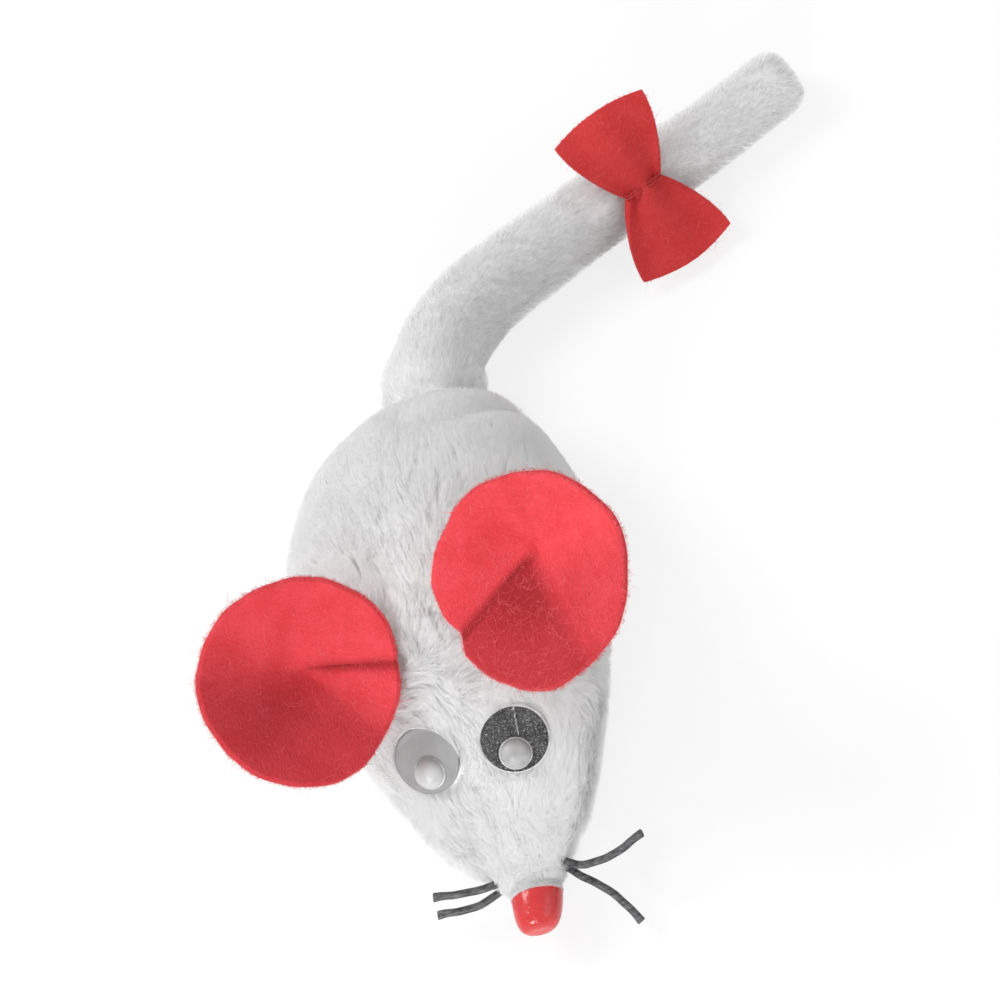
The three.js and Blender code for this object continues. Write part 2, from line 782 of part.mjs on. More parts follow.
const nose = piece("nose", noseGeometry(), finishes.nose());
nose.position.set(0, -noseReach - fitGap, noseHeight);
mouse.add(nose);

// Whiskers
[
  ["whisker_cord_upper", upperWhiskerPoints],
  ["whisker_cord_lower", lowerWhiskerPoints],
].forEach(([name, points]) => {
  mouse.add(piece(name, whiskerGeometry(points, whiskerDiameter / 2), finishes.cord()));
});

export default mouse;
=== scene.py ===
# %% [markdown]
# # Catnip mouse
# A small plush mouse for a cat: a white curly pile body stuffed round a pouch of catnip, a plush tail with a
# red felt bow, round felt ears, foil eyes with beads on them, a moulded nose and waxed cord whiskers.
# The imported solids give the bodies, the joints and some of the places. This script dresses them, and repeats
# the measures that it needs. Sizes are in millimetres until a mesh is made, and Blender then gets metres.

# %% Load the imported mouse
import json
import math

import bpy
import numpy as np
from mathutils import Matrix, Vector
from mathutils.kdtree import KDTree


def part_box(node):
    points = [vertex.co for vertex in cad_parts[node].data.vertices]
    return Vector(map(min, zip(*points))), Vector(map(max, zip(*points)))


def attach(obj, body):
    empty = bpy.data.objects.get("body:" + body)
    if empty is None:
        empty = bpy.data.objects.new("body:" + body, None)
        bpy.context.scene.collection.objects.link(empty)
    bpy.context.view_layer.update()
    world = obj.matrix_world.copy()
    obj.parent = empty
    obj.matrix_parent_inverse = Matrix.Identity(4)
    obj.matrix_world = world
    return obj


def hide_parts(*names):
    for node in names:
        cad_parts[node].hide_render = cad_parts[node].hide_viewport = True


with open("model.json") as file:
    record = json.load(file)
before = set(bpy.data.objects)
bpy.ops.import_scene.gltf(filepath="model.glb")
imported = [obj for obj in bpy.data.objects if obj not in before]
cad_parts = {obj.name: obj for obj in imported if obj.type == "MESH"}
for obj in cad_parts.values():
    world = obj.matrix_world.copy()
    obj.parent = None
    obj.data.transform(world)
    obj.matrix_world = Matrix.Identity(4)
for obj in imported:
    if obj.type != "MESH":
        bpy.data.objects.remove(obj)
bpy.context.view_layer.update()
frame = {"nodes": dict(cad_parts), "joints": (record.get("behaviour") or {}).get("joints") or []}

MM = 0.001
SIDES = {"left": 1, "right": -1}
chance = np.random.default_rng(20)


def box_mm(node):
    low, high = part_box(node)
    return np.array(low) / MM, np.array(high) / MM


# %% [markdown]
# ## Camera
# The photograph looks down on the mouse from above and in front of its left shoulder, with the camera
# rolled so that the tail runs to the upper right. A direction, a roll and a distance say all of that, and a
# long lens keeps the perspective as flat as it is in the picture.
# An empty to aim at would do as well, but three angles and a distance are easier to match to a picture.

# %% Camera
VIEW_AZIMUTH = math.radians(22.03)
VIEW_ELEVATION = math.radians(58.23)
VIEW_ROLL = math.radians(-38.09)
VIEW_TARGET = Vector((11.55, 15.47, 20))
VIEW_DISTANCE = 504.7
LENS = 104.9


def camera_axes():
    level = math.cos(VIEW_ELEVATION)
    east, north = math.sin(VIEW_AZIMUTH), math.cos(VIEW_AZIMUTH)
    back = Vector((east * level, -north * level, math.sin(VIEW_ELEVATION)))
    right = Vector((north, east, 0))
    turn = Matrix.Rotation(VIEW_ROLL, 3, back)
    right = turn @ right
    return right, back.cross(right), back


def make_camera():
    right, up, back = camera_axes()
    camera = bpy.data.objects.new("camera", bpy.data.cameras.new("camera"))
    bpy.context.scene.collection.objects.link(camera)
    place = (VIEW_TARGET + back * VIEW_DISTANCE) * MM
    turn = Matrix((right, up, back)).transposed().to_4x4()
    camera.matrix_world = Matrix.Translation(place) @ turn
    camera.data.lens = LENS
    camera.data.clip_start = 0.01
    bpy.context.scene.camera = camera
    print("camera at", [round(x, 4) for x in place])


make_camera()

# %% [markdown]
# ## Light
# A window lamp shines low over the nose, a little from the mouse's right. An overhead lamp stands behind its
# right side, and a weak fill at its left. An even sky fills the shadows. The sky and the floor look white to
# the camera, and to rays that shine off things or pass through them. To the rest of the light they are
# dimmer, so that the mouse isn't washed out.
# A sky picture would light it too, but single lamps can be moved until the shadows match.

# %% Nodes as sums
COLOUR_MIX = {"data_type": "RGBA"}
MIX_FACTOR, MIX_FROM, MIX_TO, MIX_RESULT = 0, 6, 7, 2


class Wire:
    """One output socket, so that shader maths reads as a sum."""

    def __init__(self, finish, socket):
        self.finish = finish
        self.socket = socket

    def maths(self, operation, *values):
        return self.finish.node("ShaderNodeMath", {"operation": operation}, dict(enumerate(values)))

    def __add__(self, other):
        return self.maths("ADD", self, other)

    def __sub__(self, other):
        return self.maths("SUBTRACT", self, other)

    def __rsub__(self, other):
        return self.maths("SUBTRACT", other, self)

    def __mul__(self, other):
        return self.maths("MULTIPLY", self, other)

    __radd__ = __add__
    __rmul__ = __mul__


class Finish:
    """A material with one Principled shader, and the nodes that drive it."""

    def __init__(self, name, **constants):
        self.material = bpy.data.materials.new(name)
        self.material.use_nodes = True
        self.tree = self.material.node_tree
        self.shader = self.tree.nodes["Principled BSDF"]
        self.result = self.tree.nodes["Material Output"]
        for socket, value in constants.items():
            self.shader.inputs[socket.replace("_", " ")].default_value = value

    def node(self, kind, settings=None, inputs=None, output=0):
        made = self.tree.nodes.new(kind)
        for name, value in (settings or {}).items():
            setattr(made, name, value)
        for name, value in (inputs or {}).items():
            self.feed(made.inputs[name], value)
        return Wire(self, made.outputs[output])

    def feed(self, socket, value):
        if isinstance(value, Wire):
            self.tree.links.new(value.socket, socket)
        else:
            socket.default_value = value

    def drive(self, **wires):
        for name, wire in wires.items():
            self.feed(self.shader.inputs[name.replace("_", " ")], wire)

    def place(self):
        return self.node("ShaderNodeTexCoord", output="Object")

    def vector(self, operation, *values, output=0):
        return self.node("ShaderNodeVectorMath", {"operation": operation}, dict(enumerate(values)), output)

    def noise(self, size_mm, detail=2.0, roughness=0.5, stretch=(1, 1, 1)):
        scaled = self.vector("MULTIPLY", self.place(), [share / (size_mm * MM) for share in stretch])
        settings = {"Vector": scaled, "Scale": 1.0, "Detail": detail, "Roughness": roughness}
        return self.node("ShaderNodeTexNoise", {}, settings, "Fac")

    def ramp(self, wire, low, high, start=0.0, end=1.0):
        """The wire between low and high, read as start to end and held there."""
        settings = {"clamp": True}
        return self.node("ShaderNodeMapRange", settings, {0: wire, 1: low, 2: high, 3: start, 4: end})

    def mix(self, factor, first, second):
        inputs = {MIX_FACTOR: factor, MIX_FROM: first, MIX_TO: second}
        return self.node("ShaderNodeMix", COLOUR_MIX, inputs, MIX_RESULT)

    def bump(self, height, depth_mm, strength=1.0):
        inputs = {"Height": height, "Distance": depth_mm * MM, "Strength": strength}
        return self.node("ShaderNodeBump", {}, inputs, "Normal")


# %% World, floor and lamps
SKY_LEVEL = 0.56
FLOOR_SIZE = 3.0
FLOOR_SHARE_SEEN_WHITE = 0.8


def grey(level):
    return (level, level, level, 1)


WHITE = grey(1)


def seen_directly(tree):
    """1 for the camera's rays and those that shine off things or pass through them, 0 for the rest."""
    path = tree.nodes.new("ShaderNodeLightPath")
    total = None
    for name in ("Is Camera Ray", "Is Glossy Ray", "Is Transmission Ray"):
        if total is None:
            total = path.outputs[name]
            continue
        step = tree.nodes.new("ShaderNodeMath")
        step.operation = "MAXIMUM"
        tree.links.new(total, step.inputs[0])
        tree.links.new(path.outputs[name], step.inputs[1])
        total = step.outputs[0]
    return total


def make_sky():
    world = bpy.data.worlds.new("studio sky")
    world.use_nodes = True
    tree = world.node_tree
    sky = tree.nodes["Background"]
    sky.inputs["Color"].default_value = WHITE
    level = tree.nodes.new("ShaderNodeMapRange")
    level.inputs[3].default_value = SKY_LEVEL
    level.inputs[4].default_value = 1.0
    tree.links.new(seen_directly(tree), level.inputs[0])
    tree.links.new(level.outputs[0], sky.inputs["Strength"])
    bpy.context.scene.world = world


def make_floor():
    floor = Finish("floor_paper", Base_Color=grey(0.86), Roughness=0.9)
    glow = floor.node("ShaderNodeEmission", {}, {"Color": WHITE, "Strength": 1.0}, "Emission")
    seen = Wire(floor, seen_directly(floor.tree)) * FLOOR_SHARE_SEEN_WHITE
    paper = Wire(floor, floor.shader.outputs[0])
    both = floor.node("ShaderNodeMixShader", {}, {0: seen, 1: paper, 2: glow}, "Shader")
    floor.feed(floor.result.inputs["Surface"], both)
    half = FLOOR_SIZE / 2
    mesh = bpy.data.meshes.new("floor")
    corners = [(-half, -half, 0), (half, -half, 0), (half, half, 0), (-half, half, 0)]
    mesh.from_pydata(corners, [], [(0, 1, 2, 3)])
    mesh.materials.append(floor.material)
    ground = bpy.data.objects.new("floor", mesh)
    bpy.context.scene.collection.objects.link(ground)


def make_lamp(name, place, power, size):
    data = bpy.data.lights.new(name, "AREA")
    data.shape = "DISK"
    data.size = size
    data.energy = power
    lamp = bpy.data.objects.new(name, data)
    bpy.context.scene.collection.objects.link(lamp)
    lamp.location = place
    lamp.rotation_mode = "QUATERNION"
    lamp.rotation_quaternion = (Vector((0, 0, 0.02)) - lamp.location).to_track_quat("-Z", "Y")


make_sky()
make_floor()
make_lamp("window", Vector((-0.34, -0.98, 0.45)), 8.7, 0.45)
make_lamp("overhead", Vector((-0.60, 0.45, 0.9)), 8.4, 0.6)
make_lamp("fill", Vector((0.75, -0.35, 0.35)), 0.9, 0.6)
bpy.context.scene.view_settings.view_transform = "Standard"

# %% [markdown]
# ## Meshes
# Every piece made here is a closed shell built from rows of points, apart from the rear stuffing, the pile
# and the felt's hairs. The last two are thousands of thin tapered blades. numpy works the points out, and
# one helper turns them into a Blender object that rides on a body of the mouse.
# Sculpting would make soft forms faster, but points from formulas keep their measures, and one number
# changes them.


# %% Pieces
def add_piece(name, points, faces, body, finishes, replaces, marks=None):
    """A mesh from points in millimetres and a list of face arrays, each (count, corners)."""
    mesh = bpy.data.meshes.new(name)
    counts = np.concatenate([np.full(len(part), part.shape[1]) for part in faces])
    corners = np.concatenate([part.ravel() for part in faces]).astype(np.int32)
    starts = np.concatenate([[0], np.cumsum(counts)[:-1]]).astype(np.int32)
    mesh.vertices.add(len(points))
    mesh.vertices.foreach_set("co", (points * MM).astype(np.float32).ravel())
    mesh.loops.add(len(corners))
    mesh.loops.foreach_set("vertex_index", corners)
    mesh.polygons.add(len(counts))
    mesh.polygons.foreach_set("loop_start", starts)
    mesh.update(calc_edges=True)
    mesh.polygons.foreach_set("use_smooth", np.ones(len(counts), bool))
    for finish in finishes:
        mesh.materials.append(finish.material)
    if marks is not None:
        mesh.polygons.foreach_set("material_index", marks.astype(np.int32))
    mesh.validate()
    piece = bpy.data.objects.new(name, mesh)
    bpy.context.scene.collection.objects.link(piece)
    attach(piece, body)
    if replaces:
        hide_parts(*replaces)
    return piece


def grid_faces(rows, columns, first=0, wrap=False, flip=False):
    """Quads between rows of points that lie one after another."""
    i, j = np.meshgrid(np.arange(rows - 1), np.arange(columns if wrap else columns - 1), indexing="ij")
    a = first + i * columns + j
    b = first + i * columns + (j + 1) % columns
    quads = np.stack([a, b, b + columns, a + columns], -1).reshape(-1, 4)
    return quads[:, ::-1] if flip else quads


def round_again(grid):
    """The grid with its first column once more at the end, for rows that go right round."""
    return np.concatenate([grid, grid[:, :1]], axis=1)


def closed_loft(rings):
    """Points and faces of a closed skin through rings of equally many points, with a fan at each end."""
    rings = np.asarray(rings)
    rows, columns, _ = rings.shape
    ends = np.array([rings[0].mean(0), rings[-1].mean(0)])
    points = np.concatenate([rings.reshape(-1, 3), ends])
    side = np.arange(columns)
    following = (side + 1) % columns
    first = np.stack([np.full(columns, rows * columns), following, side], -1)
    last_row = (rows - 1) * columns
    last = np.stack([np.full(columns, rows * columns + 1), last_row + side, last_row + following], -1)
    return points, [grid_faces(rows, columns, wrap=True), np.concatenate([first, last])]


def thick_sheet(outer, inner, flip=False):
    """Points and faces of a closed sheet between two grids of points."""
    rows, columns, _ = outer.shape
    points = np.concatenate([outer.reshape(-1, 3), inner.reshape(-1, 3)])
    under = rows * columns
    top = grid_faces(rows, columns, flip=flip)
    bottom = grid_faces(rows, columns, first=under, flip=not flip)
    edge = np.concatenate([
        np.arange(columns - 1),
        np.arange(rows - 1) * columns + columns - 1,
        (rows - 1) * columns + np.arange(columns - 1, 0, -1),
        np.arange(rows - 1, 0, -1) * columns,
    ])
    after = np.roll(edge, -1)
    rim = np.stack([edge, under + edge, under + after, after], -1)
    return points, [top, bottom, rim[:, ::-1] if flip else rim]


def unit(vectors):
    return vectors / np.maximum(np.linalg.norm(vectors, axis=-1, keepdims=True), 1e-9)


def grid_normals(grid):
    return unit(np.cross(np.gradient(grid, axis=1), np.gradient(grid, axis=0)))


def smoothstep(low, high, value):
    share = np.clip((value - low) / (high - low), 0, 1)
    return share * share * (3 - 2 * share)


def ripple(points, wavelength, waves=7):
    """A smooth random field over points, about -1 to 1."""
    directions = unit(chance.normal(size=(waves, 3)))
    phases = chance.uniform(0, 2 * math.pi, waves)
    stretch = chance.uniform(0.7, 1.5, waves)
    angles = points @ (directions * (2 * math.pi * stretch / wavelength)[:, None]).T + phases
    return np.sin(angles).sum(-1) / math.sqrt(waves)


# %% [markdown]
# ## Body shape
# The stuffed body is a row of ellipses along Y: widest behind the ears, tapering to the snout, and flat
# where it lies. The same shares of length, width and height give the solids in the frame. A curve joins
# them, whose slope at each inner station is the mean of the slopes beside it.
# A sculpted body would drift away from those sizes.

# %% Body sections
NOSE_REACH = 49.75
TAIL_SEAM_REACH = 39.5
BODY_WIDTH = 55.0
BODY_HEIGHT = 47.3
THROAT_LIFT = 5.5
REST_DEPTH = 0.5
SNOUT_ROUNDING = 2.5
SIDE_SEAM_HEIGHT = 8.0
STATION_SHARES = np.array([0, 0.03, 0.186, 0.387, 0.576, 0.755, 0.888, 1])
HALF_WIDTH_SHARES = np.array([0.51, 0.58, 0.833, 1, 0.92, 0.76, 0.527, 0.22])
TOP_SHARES = np.array([0.475, 0.54, 0.854, 1, 0.964, 0.77, 0.497, 0.262])
UNDERSIDE_SHARES = np.array([0, 0, 0, 0, 0.03, 0.5, 0.85, 0.55])


def through(stations, values, places):
    """The curve through the values, at any places between the first and last station."""
    slopes = np.diff(values) / np.diff(stations)
    tilt = np.zeros(len(values))
    tilt[1:-1] = (slopes[1:] + slopes[:-1]) / 2
    places = np.clip(places, stations[0], stations[-1])
    k = np.clip(np.searchsorted(stations, places, side="right") - 1, 0, len(slopes) - 1)
    gap = stations[k + 1] - stations[k]
    t = (places - stations[k]) / gap
    rise = values[k + 1] - values[k]
    curve = values[k] + t * gap * tilt[k]
    curve = curve + t**2 * (3 * rise - gap * (2 * tilt[k] + tilt[k + 1]))
    return curve + t**3 * (gap * (tilt[k] + tilt[k + 1]) - 2 * rise)


def body_section(y):
    share = (TAIL_SEAM_REACH - np.asarray(y, float)) / (NOSE_REACH + TAIL_SEAM_REACH)
    half_width = through(STATION_SHARES, HALF_WIDTH_SHARES, share) * BODY_WIDTH / 2
    high = through(STATION_SHARES, TOP_SHARES, share) * BODY_HEIGHT
    low = through(STATION_SHARES, UNDERSIDE_SHARES, share) * THROAT_LIFT - REST_DEPTH
    return half_width, (high - low) / 2, (high + low) / 2


print("widest half width", round(float(body_section(5.0)[0]), 2), "mm")

# %% Tail line
TAIL_ROOT = np.array([0.8, 42.5, 9.982])
TAIL_BALL_RADIUS = 9.6
TAIL_ROOT_RADIUS = 8.7
TAIL_TIP_RADIUS = 6.3
TAIL_REACH = 92.3
TAIL_SETTLE = 18.0
TAIL_TIP_ROUNDING = 2.5
TAIL_HEADING_STEP = 0.4
TAIL_ROUTE_SHARES = np.array([
    [0, 0], [0.02, 0.094], [0.053, 0.164], [0.115, 0.226], [0.198, 0.268], [0.292, 0.305],
    [0.386, 0.342], [0.478, 0.372], [0.571, 0.402], [0.665, 0.434], [0.76, 0.472], [0.858, 0.513],
])
TAIL_STATION_SHARES = np.array([0, 0.12, 0.3, 0.5, 1])
TAIL_FULLNESS_SHARES = np.array([1, 0.95, 0.74, 0.52, 0.05])
TAIL_BALL_END = math.sqrt(TAIL_BALL_RADIUS**2 - TAIL_ROOT_RADIUS**2)


def smooth_route(points, steps=60):
    """A centripetal curve through points, finely sampled."""
    padded = np.concatenate([[2 * points[0] - points[1]], points, [2 * points[-1] - points[-2]]])
    t = np.linspace(0, 1, steps, endpoint=False)[:, None]
    pieces = []
    for a, b, c, d in zip(padded, padded[1:], padded[2:], padded[3:]):
        u, v, w = (np.linalg.norm(q - p) ** 0.5 for p, q in ((a, b), (b, c), (c, d)))
        leave = ((b - a) / u - (c - a) / (u + v) + (c - b) / v) * v
        arrive = ((c - b) / v - (d - b) / (v + w) + (d - c) / w) * v
        bend = 3 * (c - b) - 2 * leave - arrive
        pieces.append(b + leave * t + bend * t**2 + (leave + arrive - 2 * (c - b)) * t**3)
    return np.concatenate([*pieces, points[-1:]])


tail_route = smooth_route(TAIL_ROUTE_SHARES * TAIL_REACH)
tail_steps = np.concatenate([[0], np.cumsum(np.linalg.norm(np.diff(tail_route, axis=0), axis=1))])
TAIL_LENGTH = tail_steps[-1]


def tail_radius(distance):
    distance = np.asarray(distance, float)
    ball = np.sqrt(np.maximum(TAIL_BALL_RADIUS**2 - distance**2, 0))
    share = (distance - TAIL_BALL_END) / (TAIL_LENGTH - TAIL_BALL_END)
    fullness = through(TAIL_STATION_SHARES, TAIL_FULLNESS_SHARES, share)
    plain = TAIL_TIP_RADIUS + (TAIL_ROOT_RADIUS - TAIL_TIP_RADIUS) * fullness
    return np.where(distance <= TAIL_BALL_END, ball, plain)


def on_route(distance):
    return np.stack([np.interp(distance, tail_steps, tail_route[:, k]) for k in (0, 1)], -1)


def tail_frame(distance):
    """Centre, sideways direction and heading of the tail at distances from its root's centre."""
    distance = np.atleast_1d(np.asarray(distance, float))
    ahead, behind = on_route(distance + TAIL_HEADING_STEP), on_route(distance - TAIL_HEADING_STEP)
    heading = np.concatenate([unit(ahead - behind), np.zeros((len(distance), 1))], -1)
    flat = on_route(distance) + heading[:, :2] * np.minimum(distance, 0)[:, None]
    settled = smoothstep(TAIL_BALL_END, TAIL_BALL_END + TAIL_SETTLE, distance)
    z = TAIL_ROOT[2] + (tail_radius(np.maximum(distance, 0)) - REST_DEPTH - TAIL_ROOT[2]) * settled
    centre = np.concatenate([flat + TAIL_ROOT[:2], z[:, None]], -1)
    sideways = np.stack([-heading[:, 1], heading[:, 0], np.zeros(len(distance))], -1)
    return centre, sideways, heading


print("tail length", round(float(TAIL_LENGTH), 2), "mm")

# %% [markdown]
# ## Plush finishes
# The pile is white with a faint grey unevenness, and lets some light through, as fine fibre does. The
# knitted backing under it is the same white, so no dark ground shows between the fibres.
# The unevenness could be a picture of plush. Noise is used, because it needs no picture and no unwrapping.

# %% Plush
PILE_WHITE = (0.94, 0.94, 0.94, 1)
PILE_SHADE = (0.90, 0.90, 0.902, 1)


def plush_backing():
    finish = Finish("plush backing", Roughness=0.95, Sheen_Weight=0.3)
    knit = finish.noise(0.7, detail=3.0)
    patches = finish.ramp(finish.noise(9.0), 0.35, 0.65)
    finish.drive(Base_Color=finish.mix(patches, PILE_SHADE, PILE_WHITE), Normal=finish.bump(knit, 0.3, 0.7))
    return finish


def plush_pile():
    finish = Finish("plush pile", Roughness=0.85, Specular_IOR_Level=0.2)
    patches = finish.ramp(finish.noise(7.0), 0.35, 0.65)
    finish.drive(Base_Color=finish.mix(patches, PILE_SHADE, PILE_WHITE))
    through_light = finish.node("ShaderNodeBsdfTranslucent", {}, {"Color": PILE_WHITE}, "BSDF")
    surface = Wire(finish, finish.shader.outputs[0])
    both = finish.node("ShaderNodeMixShader", {}, {0: 0.6, 1: surface, 2: through_light}, "Shader")
    finish.feed(finish.result.inputs["Surface"], both)
    return finish


backing = plush_backing()
pile = plush_pile()

# %% [markdown]
# ## Body panels
# A left and a right back panel and a belly panel are sewn together with the pile outwards. Each is a thin
# sheet between its seams, with its edges turned in a little. At the rear the three turn into the round mouth
# that the tail's root sits in.
# They could be one sculpted skin, but separate sheets leave seams, as sewn cloth has. Where the seams run is
# a guess, since the pile hides them.

# %% Panel rows
PILE_DEPTH = 2.3
BACKING_THICKNESS = 1.0
BACKING_FLOOR = 0.9
SEAM_TURN_IN = 0.25
SEAM_TURN_WIDTH = 1.2
SEAM_GAP = 0.08
SEAM_FADE_RADIUS = 12
UNDERSIDE_SPACE = 0.3
MOUTH_RADIUS = 10.9
MOUTH_Y = 39.2
MOUTH_ROUNDING = 2.2
PANEL_ROWS = 76
ROUND_ROWS = 6
DISH_ROWS = 5
DISH_DEPTH = 6.0
DISH_FLOOR = 0.5
SNOUT_END_SHARE = 0.12
RUMP_CREASE_MIDDLE = np.array([7.5, 36.5])
RUMP_CREASE_REACH = np.array([9.0, 12.0])
RUMP_CREASE_DEPTH = 1.7
RUMP_CREASE_WIDTH_SHARE = 0.34
RUMP_CREASE_END_SHARE = -0.7
RUMP_CREASE_LOWEST = 15


def body_ellipse(y):
    """Centre and half sizes of the backing's ellipse at y."""
    half_width, half_height, centre_z = body_section(y)
    return np.array([0.0, y, centre_z]), half_width - PILE_DEPTH, half_height - PILE_DEPTH


def body_ring(row):
    """(centre, half width, half height) of one row, from the tail's mouth to the snout."""
    if row < DISH_ROWS + ROUND_ROWS:
        if row < DISH_ROWS:
            y = MOUTH_Y - DISH_DEPTH * (1 - row / DISH_ROWS)
            share = 1.0
        else:
            turn = (1 - (row - DISH_ROWS) / ROUND_ROWS) * math.pi / 2
            y = MOUTH_Y - MOUTH_ROUNDING * (1 - math.sin(turn))
            share = 1 - math.cos(turn)
        radius = math.sqrt(MOUTH_RADIUS**2 - (TAIL_ROOT[1] - y) ** 2)
        circle = np.array([TAIL_ROOT[0], y, TAIL_ROOT[2]])
        centre, wide, high = body_ellipse(min(y, MOUTH_Y))
        centre = centre + (circle - centre) * share
        return centre, wide + (radius - wide) * share, high + (radius - high) * share
    snout_y = -NOSE_REACH + SNOUT_ROUNDING
    row -= DISH_ROWS + ROUND_ROWS
    if row < PANEL_ROWS:
        start = MOUTH_Y - MOUTH_ROUNDING
        return body_ellipse(start + (snout_y - start) * row / (PANEL_ROWS - 1))
    turn = (row - PANEL_ROWS + 1) / ROUND_ROWS * math.pi / 2
    centre, wide, high = body_ellipse(snout_y)
    centre = centre - np.array([0, SNOUT_ROUNDING * math.sin(turn), 0])
    shrink = max(math.cos(turn), SNOUT_END_SHARE)
    return centre, wide * shrink, high * shrink


def rump_crease(points):
    """Depth of the soft crease round the part of the rump that the tail's stitches hold up."""
    offset = (points[..., :2] - RUMP_CREASE_MIDDLE) / RUMP_CREASE_REACH
    away = np.linalg.norm(offset, axis=-1)
    forward = smoothstep(0.0, RUMP_CREASE_END_SHARE, offset[..., 1]) * (points[..., 2] > RUMP_CREASE_LOWEST)
    return RUMP_CREASE_DEPTH * forward * np.exp(-(((away - 1) / RUMP_CREASE_WIDTH_SHARE) ** 2))


def panel_grid(first_seam, last_seam, columns, turn_in=SEAM_TURN_IN):
    """Rows of points between two seams, from the tail's mouth to the snout."""
    rows = []
    for row in range(DISH_ROWS + 2 * ROUND_ROWS + PANEL_ROWS):
        centre, wide, high = body_ring(row)
        side = math.asin(np.clip((SIDE_SEAM_HEIGHT - centre[2]) / high, -0.9, 0.9))
        ends = {"left side": side, "right side": math.pi - side, "top": math.pi / 2}
        ends["belly"] = side + 2 * math.pi
        radius = (wide + high) / 2
        start = ends[first_seam] + SEAM_GAP / radius
        stop = ends[last_seam] - SEAM_GAP / radius
        turns = np.linspace(start, stop, columns)
        reach = np.minimum(turns - start, stop - turns) * radius
        inward = turn_in * (1 - smoothstep(0, SEAM_TURN_WIDTH, reach)) * min(1, radius / SEAM_FADE_RADIUS)
        points = np.zeros((columns, 3))
        points[:, 0] = centre[0] + (wide - inward) * np.cos(turns)
        points[:, 1] = centre[1]
        floor = DISH_FLOOR if row < DISH_ROWS else BACKING_FLOOR
        points[:, 2] = np.maximum(centre[2] + (high - inward) * np.sin(turns), floor)
        rows.append(points)
    rows = np.array(rows)
    return rows - grid_normals(rows) * rump_crease(rows)[..., None]


PANELS = {
    "back_panel_left": ("left side", "top", 44),
    "back_panel_right": ("top", "right side", 44),
    "belly_panel": ("right side", "belly", 40),
}


def make_panels():
    made = {}
    for name, seams in PANELS.items():
        outer = panel_grid(*seams)
        normals = grid_normals(outer)
        inner = outer - normals * BACKING_THICKNESS
        inner[DISH_ROWS:, :, 2] = np.maximum(inner[DISH_ROWS:, :, 2], BACKING_FLOOR + UNDERSIDE_SPACE)
        inner[:DISH_ROWS, :, 2] = np.maximum(inner[:DISH_ROWS, :, 2], DISH_FLOOR - UNDERSIDE_SPACE)
        points, faces = thick_sheet(outer, inner)
        piece = add_piece(name + "_plush", points, faces, "body", [backing], [name])
        shown = DISH_ROWS - 1
        up = grid_normals(panel_grid(*seams, turn_in=0))
        made[name] = (outer[shown:], up[shown:])
        print(piece.name, outer.shape)
    return made


panels = make_panels()

# %% [markdown]
# ## Tail sleeve
# The tail is a sewn tube with a round root, which turns in the body's mouth like a ball, and a blunt tip. It
# lies on the table for most of its length. Just behind the root it swells a little.
# A curve with a round bevel would make a plain tube. Rings of points along the route also give the ball at
# the root, the flat side on the table and the tip.

# %% Tail skin
TAIL_PILE_DEPTH = 1.7
TAIL_BACKING = 0.9
TAIL_MOUTH_DEPTH = 7.8
TAIL_ROWS = 110
TAIL_COLUMNS = 40
TAIL_TIP_ROWS = 6
TAIL_SWELLING = 1.1
TAIL_SWELLING_PLACE = 6
TAIL_SWELLING_REACH = 3.2
TAIL_END_SHARES = (0.6, 0.25)


def tail_ring(distance, radius, forward=0.0):
    centre, sideways, heading = (v[0] for v in tail_frame(distance))
    centre = centre + heading * forward
    turns = np.linspace(0, 2 * math.pi, TAIL_COLUMNS, endpoint=False)
    ring = centre + radius * (np.cos(turns)[:, None] * sideways + np.sin(turns)[:, None] * [0, 0, 1])
    ring[:, 2] = np.maximum(ring[:, 2], BACKING_FLOOR)
    return ring


def tail_skin(inset):
    rings = []
    end = TAIL_LENGTH - TAIL_TIP_ROUNDING - inset
    for distance in np.linspace(-TAIL_MOUTH_DEPTH, end, TAIL_ROWS):
        ball = math.sqrt(max((TAIL_BALL_RADIUS - inset) ** 2 - min(distance, 0) ** 2, 1))
        away = (distance - TAIL_SWELLING_PLACE) / TAIL_SWELLING_REACH
        plain = float(tail_radius(max(distance, 0))) - inset + TAIL_SWELLING * math.exp(-(away**2))
        rings.append(tail_ring(distance, ball if distance < 0 else plain))
    radius = float(tail_radius(end)) - inset
    for step in range(1, TAIL_TIP_ROWS + 1):
        turn = step / TAIL_TIP_ROWS * math.pi / 2
        shrink = max(radius - TAIL_TIP_ROUNDING * (1 - math.cos(turn)), 0.5)
        rings.append(tail_ring(end, shrink, TAIL_TIP_ROUNDING * math.sin(turn)))
    for share in TAIL_END_SHARES:
        rings.append(tail_ring(end, share * (radius - TAIL_TIP_ROUNDING), TAIL_TIP_ROUNDING))
    return np.array(rings)


def cup(outer, inner):
    """Points and faces of a cup between two skins that are open at their first ring."""
    rows, columns, _ = outer.shape
    ends = [outer[-1].mean(0), inner[-1].mean(0)]
    points = np.concatenate([outer.reshape(-1, 3), inner.reshape(-1, 3), ends])
    side = np.arange(columns)
    following = (side + 1) % columns
    under = rows * columns
    rim = np.stack([side, under + side, under + following, following], -1)
    last = (rows - 1) * columns
    top = np.stack([np.full(columns, 2 * under), last + side, last + following], -1)
    bottom = np.stack([np.full(columns, 2 * under + 1), under + last + following, under + last + side], -1)
    skins = [grid_faces(rows, columns, wrap=True), grid_faces(rows, columns, under, wrap=True, flip=True)]
    return points, [*skins, rim, top, bottom]


def make_tail():
    outer = tail_skin(TAIL_PILE_DEPTH)
    points, faces = cup(outer, tail_skin(TAIL_PILE_DEPTH + TAIL_BACKING))
    piece = add_piece("tail_sleeve_plush", points, faces, "tail", [backing], ["tail_sleeve"])
    wrapped = round_again(outer)
    return wrapped, grid_normals(wrapped)


